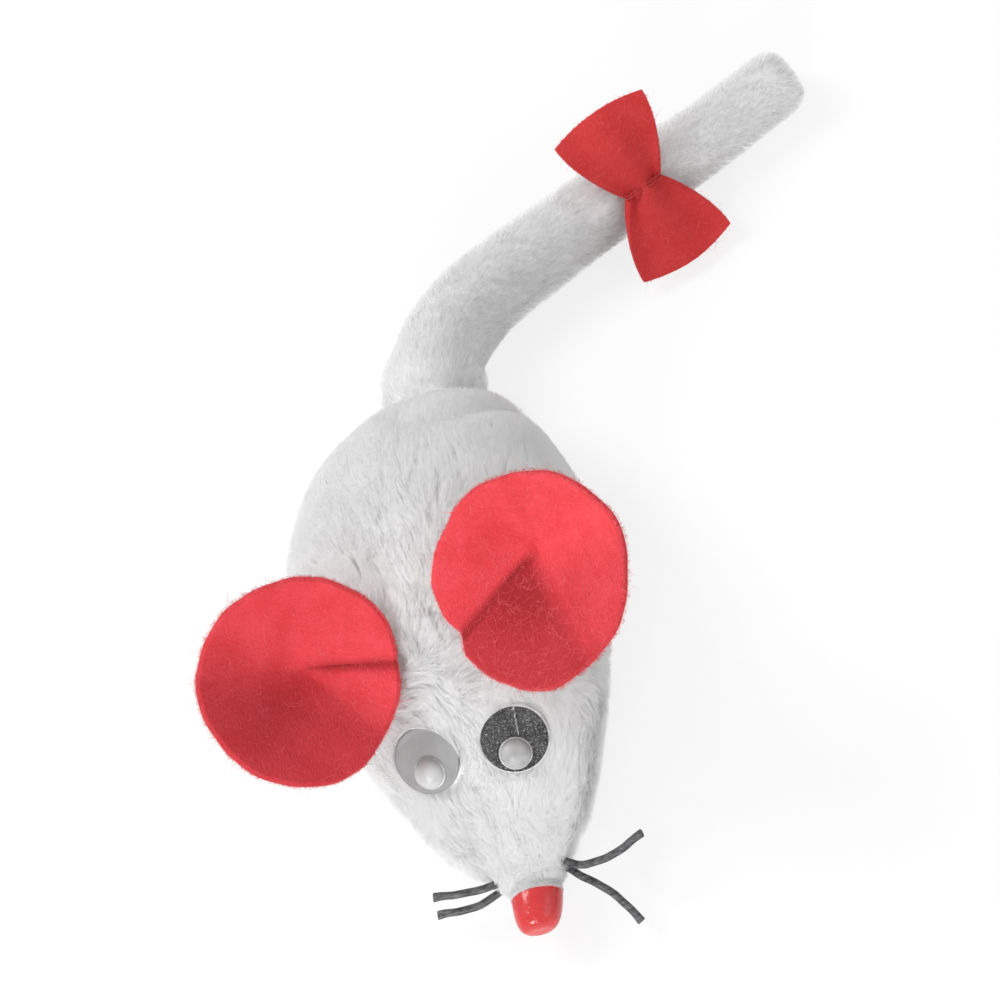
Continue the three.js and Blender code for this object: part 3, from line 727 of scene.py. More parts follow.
tail_grid, tail_normals = make_tail()

# %% [markdown]
# ## Felt
# The ears and the bow are cut from red wool felt: matt, faintly mottled, with loose hairs lying on the faces
# and standing out at the cut edges.
# Colour alone would look flat, so two sizes of noise also raise the surface, and the hairs are real blades.

# %% Felt finishes
FELT_RED = (0.60, 0.042, 0.050, 1)
FELT_LIGHT = (0.71, 0.068, 0.086, 1)
FELT_PAINTED_SHADE = (0.30, 0.020, 0.024, 1)
BOW_RED = (0.54, 0.035, 0.036, 1)
BOW_LIGHT = (0.62, 0.053, 0.054, 1)


def red_felt(name, red=FELT_RED, light=FELT_LIGHT, fold=None):
    """Wool felt. A fold gives nodes for the share of painted shade, where the felt is painted darker in its
    folds.
    """
    finish = Finish(name, Roughness=0.95, Specular_IOR_Level=0.15, Sheen_Weight=0.15, Sheen_Roughness=0.4)
    finish.shader.inputs["Sheen Tint"].default_value = (1, 0.45, 0.5, 1)
    mottle = finish.ramp(finish.noise(4.5, detail=4.0), 0.35, 0.65)
    fibres = finish.ramp(finish.noise(0.35, detail=3.0, stretch=(1, 0.45, 1)), 0.35, 0.7)
    colour = finish.mix(mottle * 0.55 + fibres * 0.45, red, light)
    # Painted shade: the colour is mixed towards a dark red where the fold's nodes say the felt lies in shade.
    if fold:
        colour = finish.mix(fold(finish), colour, FELT_PAINTED_SHADE)
    finish.drive(
        Base_Color=colour,
        Normal=finish.bump(fibres + finish.noise(1.4, detail=3.0) * 0.8, 0.16, 0.5),
    )
    return finish


def felt_hair():
    finish = Finish("felt hair", Roughness=0.8, Specular_IOR_Level=0.3)
    patches = finish.ramp(finish.noise(1.2), 0.35, 0.65)
    finish.drive(Base_Color=finish.mix(patches, (0.68, 0.055, 0.070, 1), (0.78, 0.14, 0.16, 1)))
    return finish


bow_felt = red_felt("bow felt", BOW_RED, BOW_LIGHT)
hair = felt_hair()

# %% [markdown]
# ## Ears
# Each ear is a felt disc that is pinched and tacked to the head at its base, which makes the rest stand up
# in folds that run to one point. The hinge of the ear in the frame runs through its tacks.
# A cloth simulation could fold the disc, but its folds would fall where they like. Slopes round the point
# put them where the photograph has them.
# The felt is also painted darker where the folds lie in shade and along the crease to the base: painted shade.

# %% Ear shape
EAR_RADIUS = 17.2
EAR_FELT = 1.4
EAR_RISE = math.radians(27)
EAR_PITCH = math.radians(31)
EAR_TUCK = 0.8
EAR_WAVES = 0.25
EAR_SECTORS = 160
EAR_RINGS = 38
EAR_SIZE = {"left": 0.975, "right": 0.965}
EAR_SHIFT = {"left": (1.4, -0.2), "right": (-0.3, -0.6)}
POINT_ROUNDING = 0.9
FOLD_ROUNDING = 3.5
FOLD_STEPS = 9
EAR_WAVE_SIZE = 13.0
# Waves of the cut edge: size as a share of the radius, how many, and where they start
EAR_WOBBLE = ((0.010, 3, 1), (0.006, 7, 2), (0.003, 17, 0))
# Where the folded felt comes to a point: outward from the hinge, towards the tail, and up
EAR_POINTS = {"left": (17.0, 3.7, -7.6), "right": (15.3, 1.1, -5.2)}
# Painted shade on the sectors that lie in shade: from and to, in degrees round the point, the fade at the far
# end in mm, how much
EAR_PAINTED_SHADE = {"left": [(198, 292, 4.5, 1.2), (286, 352, 8.0, 0.45)], "right": [(209, 385, 7.0, 0.68)]}
# The painted shade's sharper edge in mm, and from where to where it grows weaker in mm from the point
PAINTED_SHADE_EDGE = (-0.2, 0.8)
PAINTED_SHADE_FADE = (4, 19)
PAINTED_SHADE_END_SHARE = 0.55
# Painted shade along the crease to the ear's base: its way in degrees round the point, and how dark it is
EAR_CREASE_SHADE = {"left": (198, 0.9), "right": (182, 0.6)}
EAR_CREASE_SHADE_LINE = (0.2, 1.3)
EAR_CREASE_SHADE_START = 4
EAR_EDGE_INSET = 0.35
EAR_EDGE_ROUNDING = 0.15
# Degrees round the point, from outward through tailward, and how steeply the felt climbs that way
EAR_FOLDS = {
    "left": [
        (0, 0.29), (30, 0.38), (60, 0.50), (71, 0.63), (82, 0.59), (110, 0.62), (143, 0.64),
        (180, 0.56), (189, 0.52), (197, 0.40), (204, 0.55), (235, 0.64), (262, 0.68), (274, 0.67),
        (284, 0.58), (310, 0.43), (345, 0.29), (360, 0.29),
    ],
    "right": [
        (0, 0.35), (19, 0.38), (60, 0.44), (111, 0.48), (150, 0.42), (173, 0.38), (181, 0.26),
        (189, 0.41), (206, 0.39), (225, 0.36), (247, 0.47), (291, 0.54), (330, 0.43), (360, 0.35),
    ],
}


def ear_seat(side_name):
    """Side, hinge point and turn of an ear that is modelled flat and hinged along Y at the origin."""
    side = SIDES[side_name]
    joint = next(j for j in frame["joints"] if j["name"] == f"ear_{side_name}_flap")
    seat = np.array(joint["pos_m"]) / MM * [side, 1, 1]
    return side, seat, np.array(Matrix.Rotation(-EAR_RISE, 3, "Y") @ Matrix.Rotation(EAR_PITCH, 3, "X"))


def ear_place(side_name):
    side, seat, turn = ear_seat(side_name)
    return lambda points: (points @ turn.T + seat) * [side, 1, 1]


def ear_height(x, y, side_name):
    """Height of the felt's middle over the ear's flat: a cone with folds that run to its point."""
    point_x, point_y, depth = EAR_POINTS[side_name]
    away = np.hypot(x - point_x, y - point_y)
    degrees = np.degrees(np.arctan2(y - point_y, x - point_x)) % 360
    turns, slopes = np.array(EAR_FOLDS[side_name], float).T
    steps = np.linspace(-FOLD_ROUNDING, FOLD_ROUNDING, FOLD_STEPS)
    slope = sum(np.interp((degrees + step) % 360, turns, slopes) for step in steps) / len(steps)
    return depth + slope * (np.sqrt(away**2 + POINT_ROUNDING**2) - POINT_ROUNDING)


def ear_painted_shade(side_name):
    """Nodes for painted shade: sectors round the ear's point, and the crease that runs to its base, painted
    darker.
    """
    side, seat, turn = ear_seat(side_name)
    point_x, point_y, _ = EAR_POINTS[side_name]
    flat_point = np.array([point_x, point_y, float(ear_height(point_x, point_y, side_name))])
    point = (turn @ flat_point + seat) * [side, 1, 1] * MM

    def nodes(finish):
        offset = finish.vector("SUBTRACT", finish.place(), point)
        away = finish.vector("LENGTH", offset, output="Value")

        def reach(degrees):
            angle = math.radians(degrees)
            ahead = turn @ [math.cos(angle), math.sin(angle), 0] * [side, 1, 1]
            return finish.vector("DOT_PRODUCT", offset, ahead, output="Value")

        total = 0.0
        for first, last, fade, strength in EAR_PAINTED_SHADE[side_name]:
            near = finish.ramp(reach(first + 90), PAINTED_SHADE_EDGE[0] * MM, PAINTED_SHADE_EDGE[1] * MM)
            inside = near * finish.ramp(reach(last - 90), 0, fade * MM)
            start, end = PAINTED_SHADE_FADE[0] * MM, PAINTED_SHADE_FADE[1] * MM
            total = inside * finish.ramp(away, start, end, strength, strength * PAINTED_SHADE_END_SHARE) + total
        # A darker line along the crease: painted shade.
        degrees, strength = EAR_CREASE_SHADE[side_name]
        across = reach(degrees + 90)
        width, fade = EAR_CREASE_SHADE_LINE[0] * MM, EAR_CREASE_SHADE_LINE[1] * MM
        line = finish.ramp(across.maths("ABSOLUTE", across), width, fade, strength, 0.0)
        total = total + line * finish.ramp(reach(degrees), 0, EAR_CREASE_SHADE_START * MM)
        return finish.ramp(total, 0, 1)

    return nodes


def ear_rings(side_name):
    """Rings of the felt's middle, from near its centre to its cut edge."""
    turns = np.linspace(0, 2 * math.pi, EAR_SECTORS, endpoint=False)
    outline = sum((size * np.sin(count * turns + start) for size, count, start in EAR_WOBBLE), 1)
    share = ((np.arange(EAR_RINGS) + 1) / EAR_RINGS)[:, None]
    radius = EAR_RADIUS * EAR_SIZE[side_name] * share * outline
    x = radius * np.cos(turns) + EAR_RADIUS - EAR_TUCK
    y = radius * np.sin(turns)
    free = smoothstep(0, EAR_RADIUS / 2, x)
    shift_x, shift_y = EAR_SHIFT[side_name]
    x = x + shift_x * free
    y = y + shift_y * free
    waves = EAR_WAVES * ripple(np.stack([x, y, 0 * x], -1), EAR_WAVE_SIZE) * free
    return np.stack([x, y, ear_height(x, y, side_name) + waves], -1)


def make_ear(side_name):
    middle = ear_rings(side_name)
    normals = grid_normals(round_again(middle))[:, :-1]
    normals *= np.sign(normals[..., 2:].mean())
    half = EAR_FELT / 2
    outward = unit(middle[-1] - middle[-3])
    top = middle + normals * half
    under = middle - normals * half
    top[-1] -= outward * EAR_EDGE_INSET
    under[-1] -= outward * EAR_EDGE_INSET
    rim = middle[-1] + outward * EAR_EDGE_ROUNDING
    move = ear_place(side_name)
    points, faces = closed_loft([*under, rim, *top[::-1]])
    points = move(points)
    if side_name == "right":
        faces = [part[:, ::-1] for part in faces]
    name = f"ear_{side_name}"
    # The ear's felt gets painted shade in its shaded sectors and along its crease.
    finish = red_felt(f"red felt {side_name} ear", fold=ear_painted_shade(side_name))
    piece = add_piece(name + "_felt", points, faces, name, [finish], [name])
    return move, middle, normals


ears = {side_name: make_ear(side_name) for side_name in SIDES}
for side_name, (move, middle, _) in ears.items():
    under = move(middle.reshape(-1, 3) - [0, 0, EAR_FELT / 2])
    half_width, half_height, centre_z = body_section(under[:, 1])
    depth = 1 - np.hypot(under[:, 0] / half_width, (under[:, 2] - centre_z) / half_height)
    print(side_name, "ear inside the plush by up to", round(float((depth * half_height).max()), 2), "mm")

# %% [markdown]
# ## Bow
# A strip of felt, a little darker than the ears', lies across the tail. The thread that sews it on draws it
# in at the middle, and the gather throws up short folds that die out towards the ends.
# A simulated gather would choose its own folds, so a wave across the strip draws them.

# %% Bow shape
BOW_LENGTH = 32.5
BOW_END_WIDTH = 19.0
BOW_WAIST_WIDTH = 6.2
BOW_FELT = 1.3
BOW_FOLD_DEPTH = 0.9
BOW_END_FOLD_DEPTH = 0.3
BOW_END_BULGE = 1.6
BOW_FLARE_SHARE = 0.45
BOW_ALONG_TAIL_SHARE = 0.64
BOW_LEAN = math.radians(43)
BOW_SURFACE_GAP = 0.3
BOW_FOLDS = 1.5
BOW_STEPS = 84
BOW_WIDTH_STEPS = 48
BOW_ARCH = 0.5
BOW_EDGE_BEVEL = 0.3

bow_distance = BOW_ALONG_TAIL_SHARE * TAIL_LENGTH
bow_centre, bow_sideways, bow_heading = (v[0] for v in tail_frame(bow_distance))
bow_up = np.array([0, 0, math.cos(BOW_LEAN)]) - bow_sideways * math.sin(BOW_LEAN)
bow_across = np.cross(bow_up, bow_heading)
bow_lift = float(tail_radius(bow_distance)) + BOW_SURFACE_GAP + BOW_FOLD_DEPTH + BOW_FELT / 2
bow_centre = bow_centre + bow_up * bow_lift
bow_axes = np.array([bow_across, -bow_heading, bow_up])


def bow_place(points):
    return points @ bow_axes + bow_centre


def bow_middle():
    along, across = np.linspace(-1, 1, BOW_STEPS + 1), np.linspace(-1, 1, BOW_WIDTH_STEPS + 1)
    u, v = np.meshgrid(along, across, indexing="ij")
    out = np.abs(u)
    spread = smoothstep(0, 1, out)
    half_width = (BOW_WAIST_WIDTH + (BOW_END_WIDTH - BOW_WAIST_WIDTH) * spread**BOW_FLARE_SHARE) / 2
    x = np.sign(u) * (out * (BOW_LENGTH / 2 - BOW_END_BULGE) + BOW_END_BULGE * (1 - v * v) * spread)
    depth = BOW_FOLD_DEPTH + (BOW_END_FOLD_DEPTH - BOW_FOLD_DEPTH) * spread
    z = depth * np.cos(BOW_FOLDS * math.pi * v)
    z += BOW_ARCH * np.sin(math.pi * out) * (1 - v * v)
    return np.stack([x, v * half_width, z], -1)


def make_bow():
    middle = bow_middle()
    normals = grid_normals(middle)
    normals *= np.sign(normals[..., 2:].mean())
    top = middle + normals * BOW_FELT / 2
    under = middle - normals * BOW_FELT / 2
    points, faces = thick_sheet(top, under, flip=True)
    piece = add_piece("bow_felt_cut", bow_place(points), faces, "tail", [bow_felt], ["bow_felt"])
    bevel = piece.modifiers.new("soft cut edge", "BEVEL")
    bevel.width = BOW_EDGE_BEVEL * MM
    bevel.segments = 3
    bevel.angle_limit = math.radians(50)
    return middle, normals


bow_grid, bow_normals = make_bow()

# %% [markdown]
# ## Eyes
# Each eye is a foil disc with a half-round bead on its lower part. The mouse's left disc has dulled to dark
# pewter and has a crease in it, and the right one is plain grey.
# A cylinder and half a ball would do from afar. Turned from a profile, as on a lathe, they also get the rim,
# the dents and the crease.
# Their edges and rims carry painted light: a painted highlight on the left disc's edge and round each bead's
# rim, and painted shade on the right disc's edge.

# %% Eye finishes
DISC_RADIUS = 5.7
DISC_THICKNESS = 0.5
DISC_BEVEL = 0.14
DISC_SECTORS = 128
DISC_RINGS = 34
BEAD_RADIUS = 2.75
BEAD_RISE = 2.2
BEAD_RIM = 0.24
BEAD_PAINTED_HIGHLIGHT_ROWS = 5
BEAD_DOME_INSET = 0.19
BEAD_STEPS = 17
BEAD_SECTORS = 72
DISC_DENT = 0.05
DISC_DENT_SIZE = 6.0
DISC_DENT_EDGE = 0.8
DISC_BACK_SHARES = (0.3, 0.65)
# Turned outwards and tilted forwards, in degrees, and how far the disc stands out
EYE_LEANS = {"left": (14.4, 42.0, 0.3), "right": (22.0, 34.0, 0.5)}
BEAD_DROP = 2.1
BEAD_SHIFTS = {"left": -1.1, "right": 0.5}
FOIL_CREASE_FROM = (0.9, 0.2)
FOIL_CREASE_TO = (2.7, 4.8)
FOIL_CREASE_WIDTH = 0.2
FOIL_CREASE_HEIGHT = 0.05
FOIL_CREASE_WORN = 0.07


def dark_foil():
    finish = Finish("dark foil", Metallic=0.75, Roughness=0.42)
    crackle = finish.ramp(finish.noise(0.30, detail=4.0, roughness=0.9), 0.52, 0.60)
    tarnish = finish.ramp(finish.noise(3.0), 0.3, 0.7)
    pale = crackle * 0.8 + tarnish * 0.1
    finish.drive(
        Base_Color=finish.mix(pale, (0.010, 0.010, 0.011, 1), (0.46, 0.46, 0.465, 1)),
        Roughness=finish.ramp(crackle, 0, 1, 0.35, 0.6),
        Normal=finish.bump(crackle + finish.noise(0.25), 0.06, 0.8),
    )
    return finish


def grey_foil():
    finish = Finish("grey foil", Metallic=0.2, Roughness=0.6)
    haze = finish.ramp(finish.noise(2.5), 0.3, 0.7)
    finish.drive(Base_Color=finish.mix(haze, (0.26, 0.26, 0.263, 1), (0.295, 0.295, 0.298, 1)))
    return finish


# A grey with worn patches. It gives the real wear along the left disc's crease, painted highlights on the left
# disc's edge and the beads' rims, and painted shade on the right disc's edge.
def wear_and_painted_light(name, level):
    finish = Finish(name, Metallic=0.3, Roughness=0.4)
    marks = finish.ramp(finish.noise(0.8), 0.35, 0.65)
    worn = (level * 0.72, level * 0.72, level * 0.73, 1)
    finish.drive(Base_Color=finish.mix(marks, worn, grey(level)))
    return finish


def pale_bead(name, dark, light):
    finish = Finish(name, Roughness=0.42, Specular_IOR_Level=0.3, Coat_Weight=0.12, Coat_Roughness=0.2)
    cloud = finish.ramp(finish.noise(1.8), 0.3, 0.7)
    finish.drive(Base_Color=finish.mix(cloud, grey(dark), grey(light)))
    return finish


# %% Eye pieces
# The left disc's edge is a painted highlight, the right disc's edge painted shade, and the beads' rims painted
# highlights.
eye_finishes = {
    "left": (dark_foil(), wear_and_painted_light("foil edge painted highlight", 0.8), wear_and_painted_light("worn foil", 0.34)),
    "right": (grey_foil(), wear_and_painted_light("foil edge painted shade", 0.22)),
}
bead_finishes = {
    "left": (pale_bead("dull bead", 0.30, 0.40), wear_and_painted_light("painted highlight bead rim", 0.66)),
    "right": (pale_bead("pale bead", 0.46, 0.54), wear_and_painted_light("pale painted highlight bead rim", 0.66)),
}


def eye_turn(side_name):
    turn, tilt, _ = EYE_LEANS[side_name]
    outwards = Matrix.Rotation(math.radians(SIDES[side_name] * turn), 3, "Z")
    return np.array(outwards @ Matrix.Rotation(math.radians(tilt), 3, "X"))


def eye_centre(side_name):
    """Middle of the disc's back."""
    low, high = box_mm("eye_disc_" + side_name)
    return (low + high) / 2 + eye_turn(side_name)[:, 2] * (EYE_LEANS[side_name][2] - DISC_THICKNESS / 2)


def lathe(profile, sectors):
    """Rings about Z from (radius, height) pairs."""
    turns = np.linspace(0, 2 * math.pi, sectors, endpoint=False)
    radius, height = np.array(profile).T
    return np.stack([
        radius[:, None] * np.cos(turns),
        radius[:, None] * np.sin(turns),
        np.repeat(height[:, None], sectors, axis=1),
    ], -1)


def from_crease(points):
    """Distance of each point of the disc from the crease in its foil."""
    start, end = np.array(FOIL_CREASE_FROM), np.array(FOIL_CREASE_TO)
    along = unit(end - start)
    offset = points[..., :2] - start
    reach = np.clip(offset @ along, 0, np.linalg.norm(end - start))
    return np.linalg.norm(offset - reach[..., None] * along, axis=-1)


def make_eye(side_name):
    creased = side_name == "left"
    edge = DISC_RADIUS - DISC_BEVEL
    under = [(DISC_RADIUS * share, 0) for share in DISC_BACK_SHARES] + [(edge, 0), (DISC_RADIUS, DISC_BEVEL)]
    over = [(DISC_RADIUS, DISC_THICKNESS - DISC_BEVEL)]
    over += [(DISC_RADIUS - DISC_BEVEL / 3, DISC_THICKNESS - DISC_BEVEL / 3), (edge, DISC_THICKNESS)]
    over += [(edge * (1 - k / DISC_RINGS), DISC_THICKNESS) for k in range(1, DISC_RINGS)]
    rings = lathe(under + over, DISC_SECTORS)
    if creased:
        rings[..., 2] += FOIL_CREASE_HEIGHT * np.exp(-((from_crease(rings) / FOIL_CREASE_WIDTH) ** 2))
    dent = DISC_DENT * ripple(rings * [1, 1, 0], DISC_DENT_SIZE)
    share = np.linalg.norm(rings[..., :2], axis=-1) / DISC_RADIUS
    rings[..., 2] += dent * smoothstep(1, DISC_DENT_EDGE, share)
    points, faces = closed_loft(rings)
    marks = np.zeros(sum(len(part) for part in faces))
    # The back and the edge take the second finish: a painted highlight on the left disc, painted shade on the
    # right.
    marks[: (len(under) + 2) * DISC_SECTORS] = 1
    if creased:
        middles = points[faces[0]].mean(1)
        worn = (from_crease(middles) < FOIL_CREASE_WORN) & (middles[:, 2] > DISC_THICKNESS / 2)
        marks[: len(middles)][worn] = 2
    name = f"eye_disc_{side_name}"
    turn, middle = eye_turn(side_name), eye_centre(side_name)
    points = points @ turn.T + middle
    add_piece(name + "_foil", points, faces, "body", eye_finishes[side_name], [name], marks)

    base = DISC_THICKNESS
    dome_radius, dome_start = BEAD_RADIUS - BEAD_DOME_INSET, BEAD_RIM * 0.8
    profile = [(BEAD_RADIUS * 0.5, base), (BEAD_RADIUS, base), (BEAD_RADIUS, base + BEAD_RIM * 0.5)]
    profile += [(BEAD_RADIUS - 0.05, base + BEAD_RIM), (BEAD_RADIUS - 0.15, base + BEAD_RIM)]
    for k in range(BEAD_STEPS):
        turn_up = k / BEAD_STEPS * math.pi / 2
        height = base + dome_start + (BEAD_RISE - dome_start) * math.sin(turn_up)
        profile.append((dome_radius * math.cos(turn_up), height))
    rings = lathe(profile, BEAD_SECTORS)
    points, faces = closed_loft(rings)
    points = (points + [BEAD_SHIFTS[side_name], -BEAD_DROP, 0]) @ turn.T + middle
    name = f"eye_bead_{side_name}"
    marks = np.zeros(sum(len(part) for part in faces))
    # The rim rows take the second finish, a painted highlight.
    marks[BEAD_SECTORS : BEAD_SECTORS * BEAD_PAINTED_HIGHLIGHT_ROWS] = 1
    add_piece(name + "_dome", points, faces, "body", bead_finishes[side_name], [name], marks)
    return turn, middle


eyes = {side_name: make_eye(side_name) for side_name in SIDES}

# %% [markdown]
# ## Nose
# The nose is one glossy moulded drop with a rounded back edge, pressed into the end of the snout by a peg.
# It leans a little to the mouse's right.
# Half a ball would be too thin at its edge, so it is turned from a fuller profile, by the same lathe.

# %% Nose shape
NOSE_RADIUS = 4.45
NOSE_BASE = np.array([0, -50.05, 7.6])
NOSE_LENGTH = 7.6
NOSE_FULLNESS = 0.42
NOSE_LEAN = 0.14
NOSE_SHIFT = 0.3
NOSE_PEG_RADIUS = 1.6
NOSE_PEG_LENGTH = 3.4
NOSE_PEG_BEVEL = 0.4
NOSE_BACK_SHARES = ((0.55, 0), (0.8, 0.2), (0.92, 0.7), (0.97, 1.3))
NOSE_STEPS = 26
NOSE_SECTORS = 80


def red_plastic():
    gloss = {"Coat_Weight": 0.35, "Coat_Roughness": 0.06}
    finish = Finish("red plastic", Roughness=0.24, Specular_IOR_Level=0.35, **gloss)
    swirl = finish.ramp(finish.noise(2.2, detail=3.0), 0.3, 0.7)
    along = finish.node("ShaderNodeSeparateXYZ", {}, {0: finish.place()}, "Y")
    at_tip = finish.ramp(along, (NOSE_BASE[1] - 4.5) * MM, (NOSE_BASE[1] - 6.5) * MM)
    finish.drive(
        Base_Color=finish.mix(swirl, (0.50, 0.016, 0.018, 1), (0.60, 0.024, 0.026, 1)),
        Normal=finish.bump(finish.noise(0.9, detail=2.0) * (at_tip + 0.25), 0.40, 0.7),
    )
    return finish


def make_nose():
    profile = [(NOSE_PEG_RADIUS * 0.6, -NOSE_PEG_LENGTH)]
    profile += [(NOSE_PEG_RADIUS, -NOSE_PEG_LENGTH + NOSE_PEG_BEVEL), (NOSE_PEG_RADIUS, 0)]
    profile += [(NOSE_RADIUS * share, ahead) for share, ahead in NOSE_BACK_SHARES]
    for k in range(len(NOSE_BACK_SHARES), NOSE_STEPS):
        turn = k / NOSE_STEPS * math.pi / 2
        profile.append((NOSE_RADIUS * math.cos(turn) ** NOSE_FULLNESS, NOSE_LENGTH * math.sin(turn)))
    rings = lathe(profile, NOSE_SECTORS)
    across, above, ahead = rings[..., 0], rings[..., 1], rings[..., 2]
    rings = np.stack([across + NOSE_SHIFT - NOSE_LEAN * ahead, -ahead, above], -1) + NOSE_BASE
    points, faces = closed_loft(rings)
    add_piece("nose_moulding", points, faces, "body", [red_plastic()], ["nose"])


make_nose()
print("nose ends at", round(float(NOSE_BASE[1] - NOSE_LENGTH), 2))

# %% [markdown]
# ## Whiskers
# Two waxed cords are threaded through the snout and leave four ends, which bend as they like. The ends are
# pressed flat where they were cut.
# A curve with a round bevel could draw them. Rings of points also show the twist and the pressed ends, and
# give the length.

# %% Whisker cords
WHISKER_RADIUS = 0.7
WHISKER_SECTORS = 20
WHISKER_TWIST = 4.2
WHISKER_STRANDS = 3
WHISKER_GROOVE_SHARE = 0.05
WHISKER_ROUTES = {
    "whisker_cord_upper": [
        [-17, -47, 9.6], [-10.8, -47.9, 9.2], [-5.2, -47.7, 8.9], [0, -45, 9.4],
        [5.2, -46.9, 9.2], [8.8, -49.3, 9.5], [14.8, -50, 11], [21.1, -49.1, 14],
    ],
    "whisker_cord_lower": [
        [-18, -48.6, 5.5], [-10.8, -49.2, 5.5], [-5.6, -47.9, 6.3], [0, -44.8, 6.4], [4.8, -47, 6.9],
        [8.2, -50.4, 7.1], [11.6, -53.5, 6.2], [13.9, -56.6, 5.1], [15.7, -59.9, 4],
    ],
}


def waxed_cord():
    finish = Finish("waxed cord", Roughness=0.5, Specular_IOR_Level=0.5)
    streaks = finish.ramp(finish.noise(0.6, detail=4.0, stretch=(0.4, 1, 1)), 0.35, 0.68)
    finish.drive(
        Base_Color=finish.mix(streaks, (0.013, 0.013, 0.015, 1), (0.12, 0.12, 0.125, 1)),
        Normal=finish.bump(streaks, 0.12, 0.6),
    )
    return finish


def pressed_ends(share):
    """Width and height of the cord, pressed flat towards its two cut ends."""
    press = smoothstep(0.06, 0.0, share) + 0.5 * smoothstep(0.95, 1.0, share)
    return 1 + 0.22 * press, 1 - 0.35 * press


def twisted_cord(route):
    """Rings of three strands twisted together along a route, and the cord's length."""
    heading = unit(np.gradient(route, axis=0))
    side = unit(np.cross(heading, [0, 0, 1]))
    above = np.cross(side, heading)
    travelled = np.concatenate([[0], np.cumsum(np.linalg.norm(np.diff(route, axis=0), axis=1))])
    turns = np.linspace(0, 2 * math.pi, WHISKER_SECTORS, endpoint=False)
    turned = travelled[:, None] / WHISKER_TWIST * 2 * math.pi / WHISKER_STRANDS
    lobes = np.cos(WHISKER_STRANDS * (turns[None] - turned))
    size = WHISKER_RADIUS * (1 - WHISKER_GROOVE_SHARE + WHISKER_GROOVE_SHARE * lobes)[..., None]
    wide, high = pressed_ends(travelled / travelled[-1])
    ring = np.cos(turns)[None, :, None] * side[:, None] * wide[:, None, None]
    ring = ring + np.sin(turns)[None, :, None] * above[:, None] * high[:, None, None]
    return route[:, None] + ring * size, travelled[-1]


def make_whiskers():
    finish = waxed_cord()
    for name, stops in WHISKER_ROUTES.items():
        route = smooth_route(np.array(stops, float), steps=16)
        rings, length = twisted_cord(route)
        points, faces = closed_loft(rings)
        piece = add_piece(name + "_waxed", points, faces, "body", [finish], [name])
        length * MM
        print(name, round(float(length), 1), "mm")


make_whiskers()

# %% [markdown]
# ## Threads
# Stitches hold the ears and the bow. They are drawn down into the felt, and their red hardly shows against
# it. An ear's loops turn with the ear, and from the side they can be seen over the pile.
# A stitch could be painted on, but a loop of thread throws its own shadow.

# %% Stitches
THREAD_RADIUS = 0.15
TACK_PLACES = (-2.4, 0.0, 2.4)
TACK_REACH = 0.9
TACK_SHIFT = 0.7
TACK_DROP = 0.9
WRAP_PLACES = (-0.3, 0.25)


def spun_thread(name, dark, light):
    finish = Finish(name, Roughness=0.7, Specular_IOR_Level=0.3)
    twist = finish.ramp(finish.noise(0.3, detail=2.0), 0.35, 0.65)
    finish.drive(Base_Color=finish.mix(twist, dark, light), Normal=finish.bump(twist, 0.08, 0.6))
    return finish


def loops(name, rings, body, finish, node):
    """One mesh of closed thread loops, each given by the points of its centre line."""
    sectors = 10
    turns = np.linspace(0, 2 * math.pi, sectors, endpoint=False)
    points, faces = [], []
    for line in rings:
        heading = unit(np.roll(line, -1, axis=0) - np.roll(line, 1, axis=0))
        axis = unit(np.cross(heading[0], heading[len(line) // 4]))
        out = unit(np.cross(heading, axis))
        skin = np.cos(turns)[None, :, None] * out[:, None] + np.sin(turns)[None, :, None] * axis
        skin = line[:, None] + THREAD_RADIUS * skin
        first = sum(len(part) for part in points)
        faces.append(first + grid_faces(len(line) + 1, sectors, wrap=True) % (len(line) * sectors))
        points.append(skin.reshape(-1, 3))
    add_piece(name, np.concatenate(points), faces, body, [finish], [node])


def ellipse_line(centre, first, second, steps=40):
    turns = np.linspace(0, 2 * math.pi, steps, endpoint=False)[:, None]
    return np.array(centre) + np.cos(turns) * np.array(first) + np.sin(turns) * np.array(second)


red_thread = spun_thread("red thread", (0.58, 0.035, 0.042, 1), (0.74, 0.07, 0.085, 1))
for side_name, (move, _, _) in ears.items():
    lines = []
    for y in TACK_PLACES:
        z = float(ear_height(TACK_SHIFT, y, side_name))
        high = EAR_FELT / 2 + TACK_DROP
        lines.append(move(ellipse_line((TACK_SHIFT, y, z - TACK_DROP), (TACK_REACH, 0, 0), (0, 0, high))))
    node = f"ear_tack_{side_name}"
    loops(node + "_loops", lines, f"ear_{side_name}", red_thread, node)
half_waist = BOW_WAIST_WIDTH / 2 + BOW_FELT / 2
half_wrap = BOW_FOLD_DEPTH + BOW_FELT / 2 - THREAD_RADIUS
wraps = [bow_place(ellipse_line((x, 0, 0), (0, half_waist, 0), (0, 0, half_wrap))) for x in WRAP_PLACES]
bow_thread = spun_thread("bow thread", (0.40, 0.028, 0.030, 1), (0.52, 0.040, 0.042, 1))
loops("bow_thread_wraps", wraps, "tail", bow_thread, "bow_thread")


# %% [markdown]
# ## Inside
# The front stuffing, the tail's stuffing, the pouch and its thread, the catnip and the thread round the
# tail's root keep the solids of the frame. They get their own materials: loose white fibre, woven cotton,
# dry green leaf and white thread. The rear stuffing is drawn anew, pushed in at the tail's mouth. The
# thread round the tail's root can be seen in the gap there, most of all where the tail swings.
# They could all be modelled anew, but the photograph shows none of them, so plain forms will do.

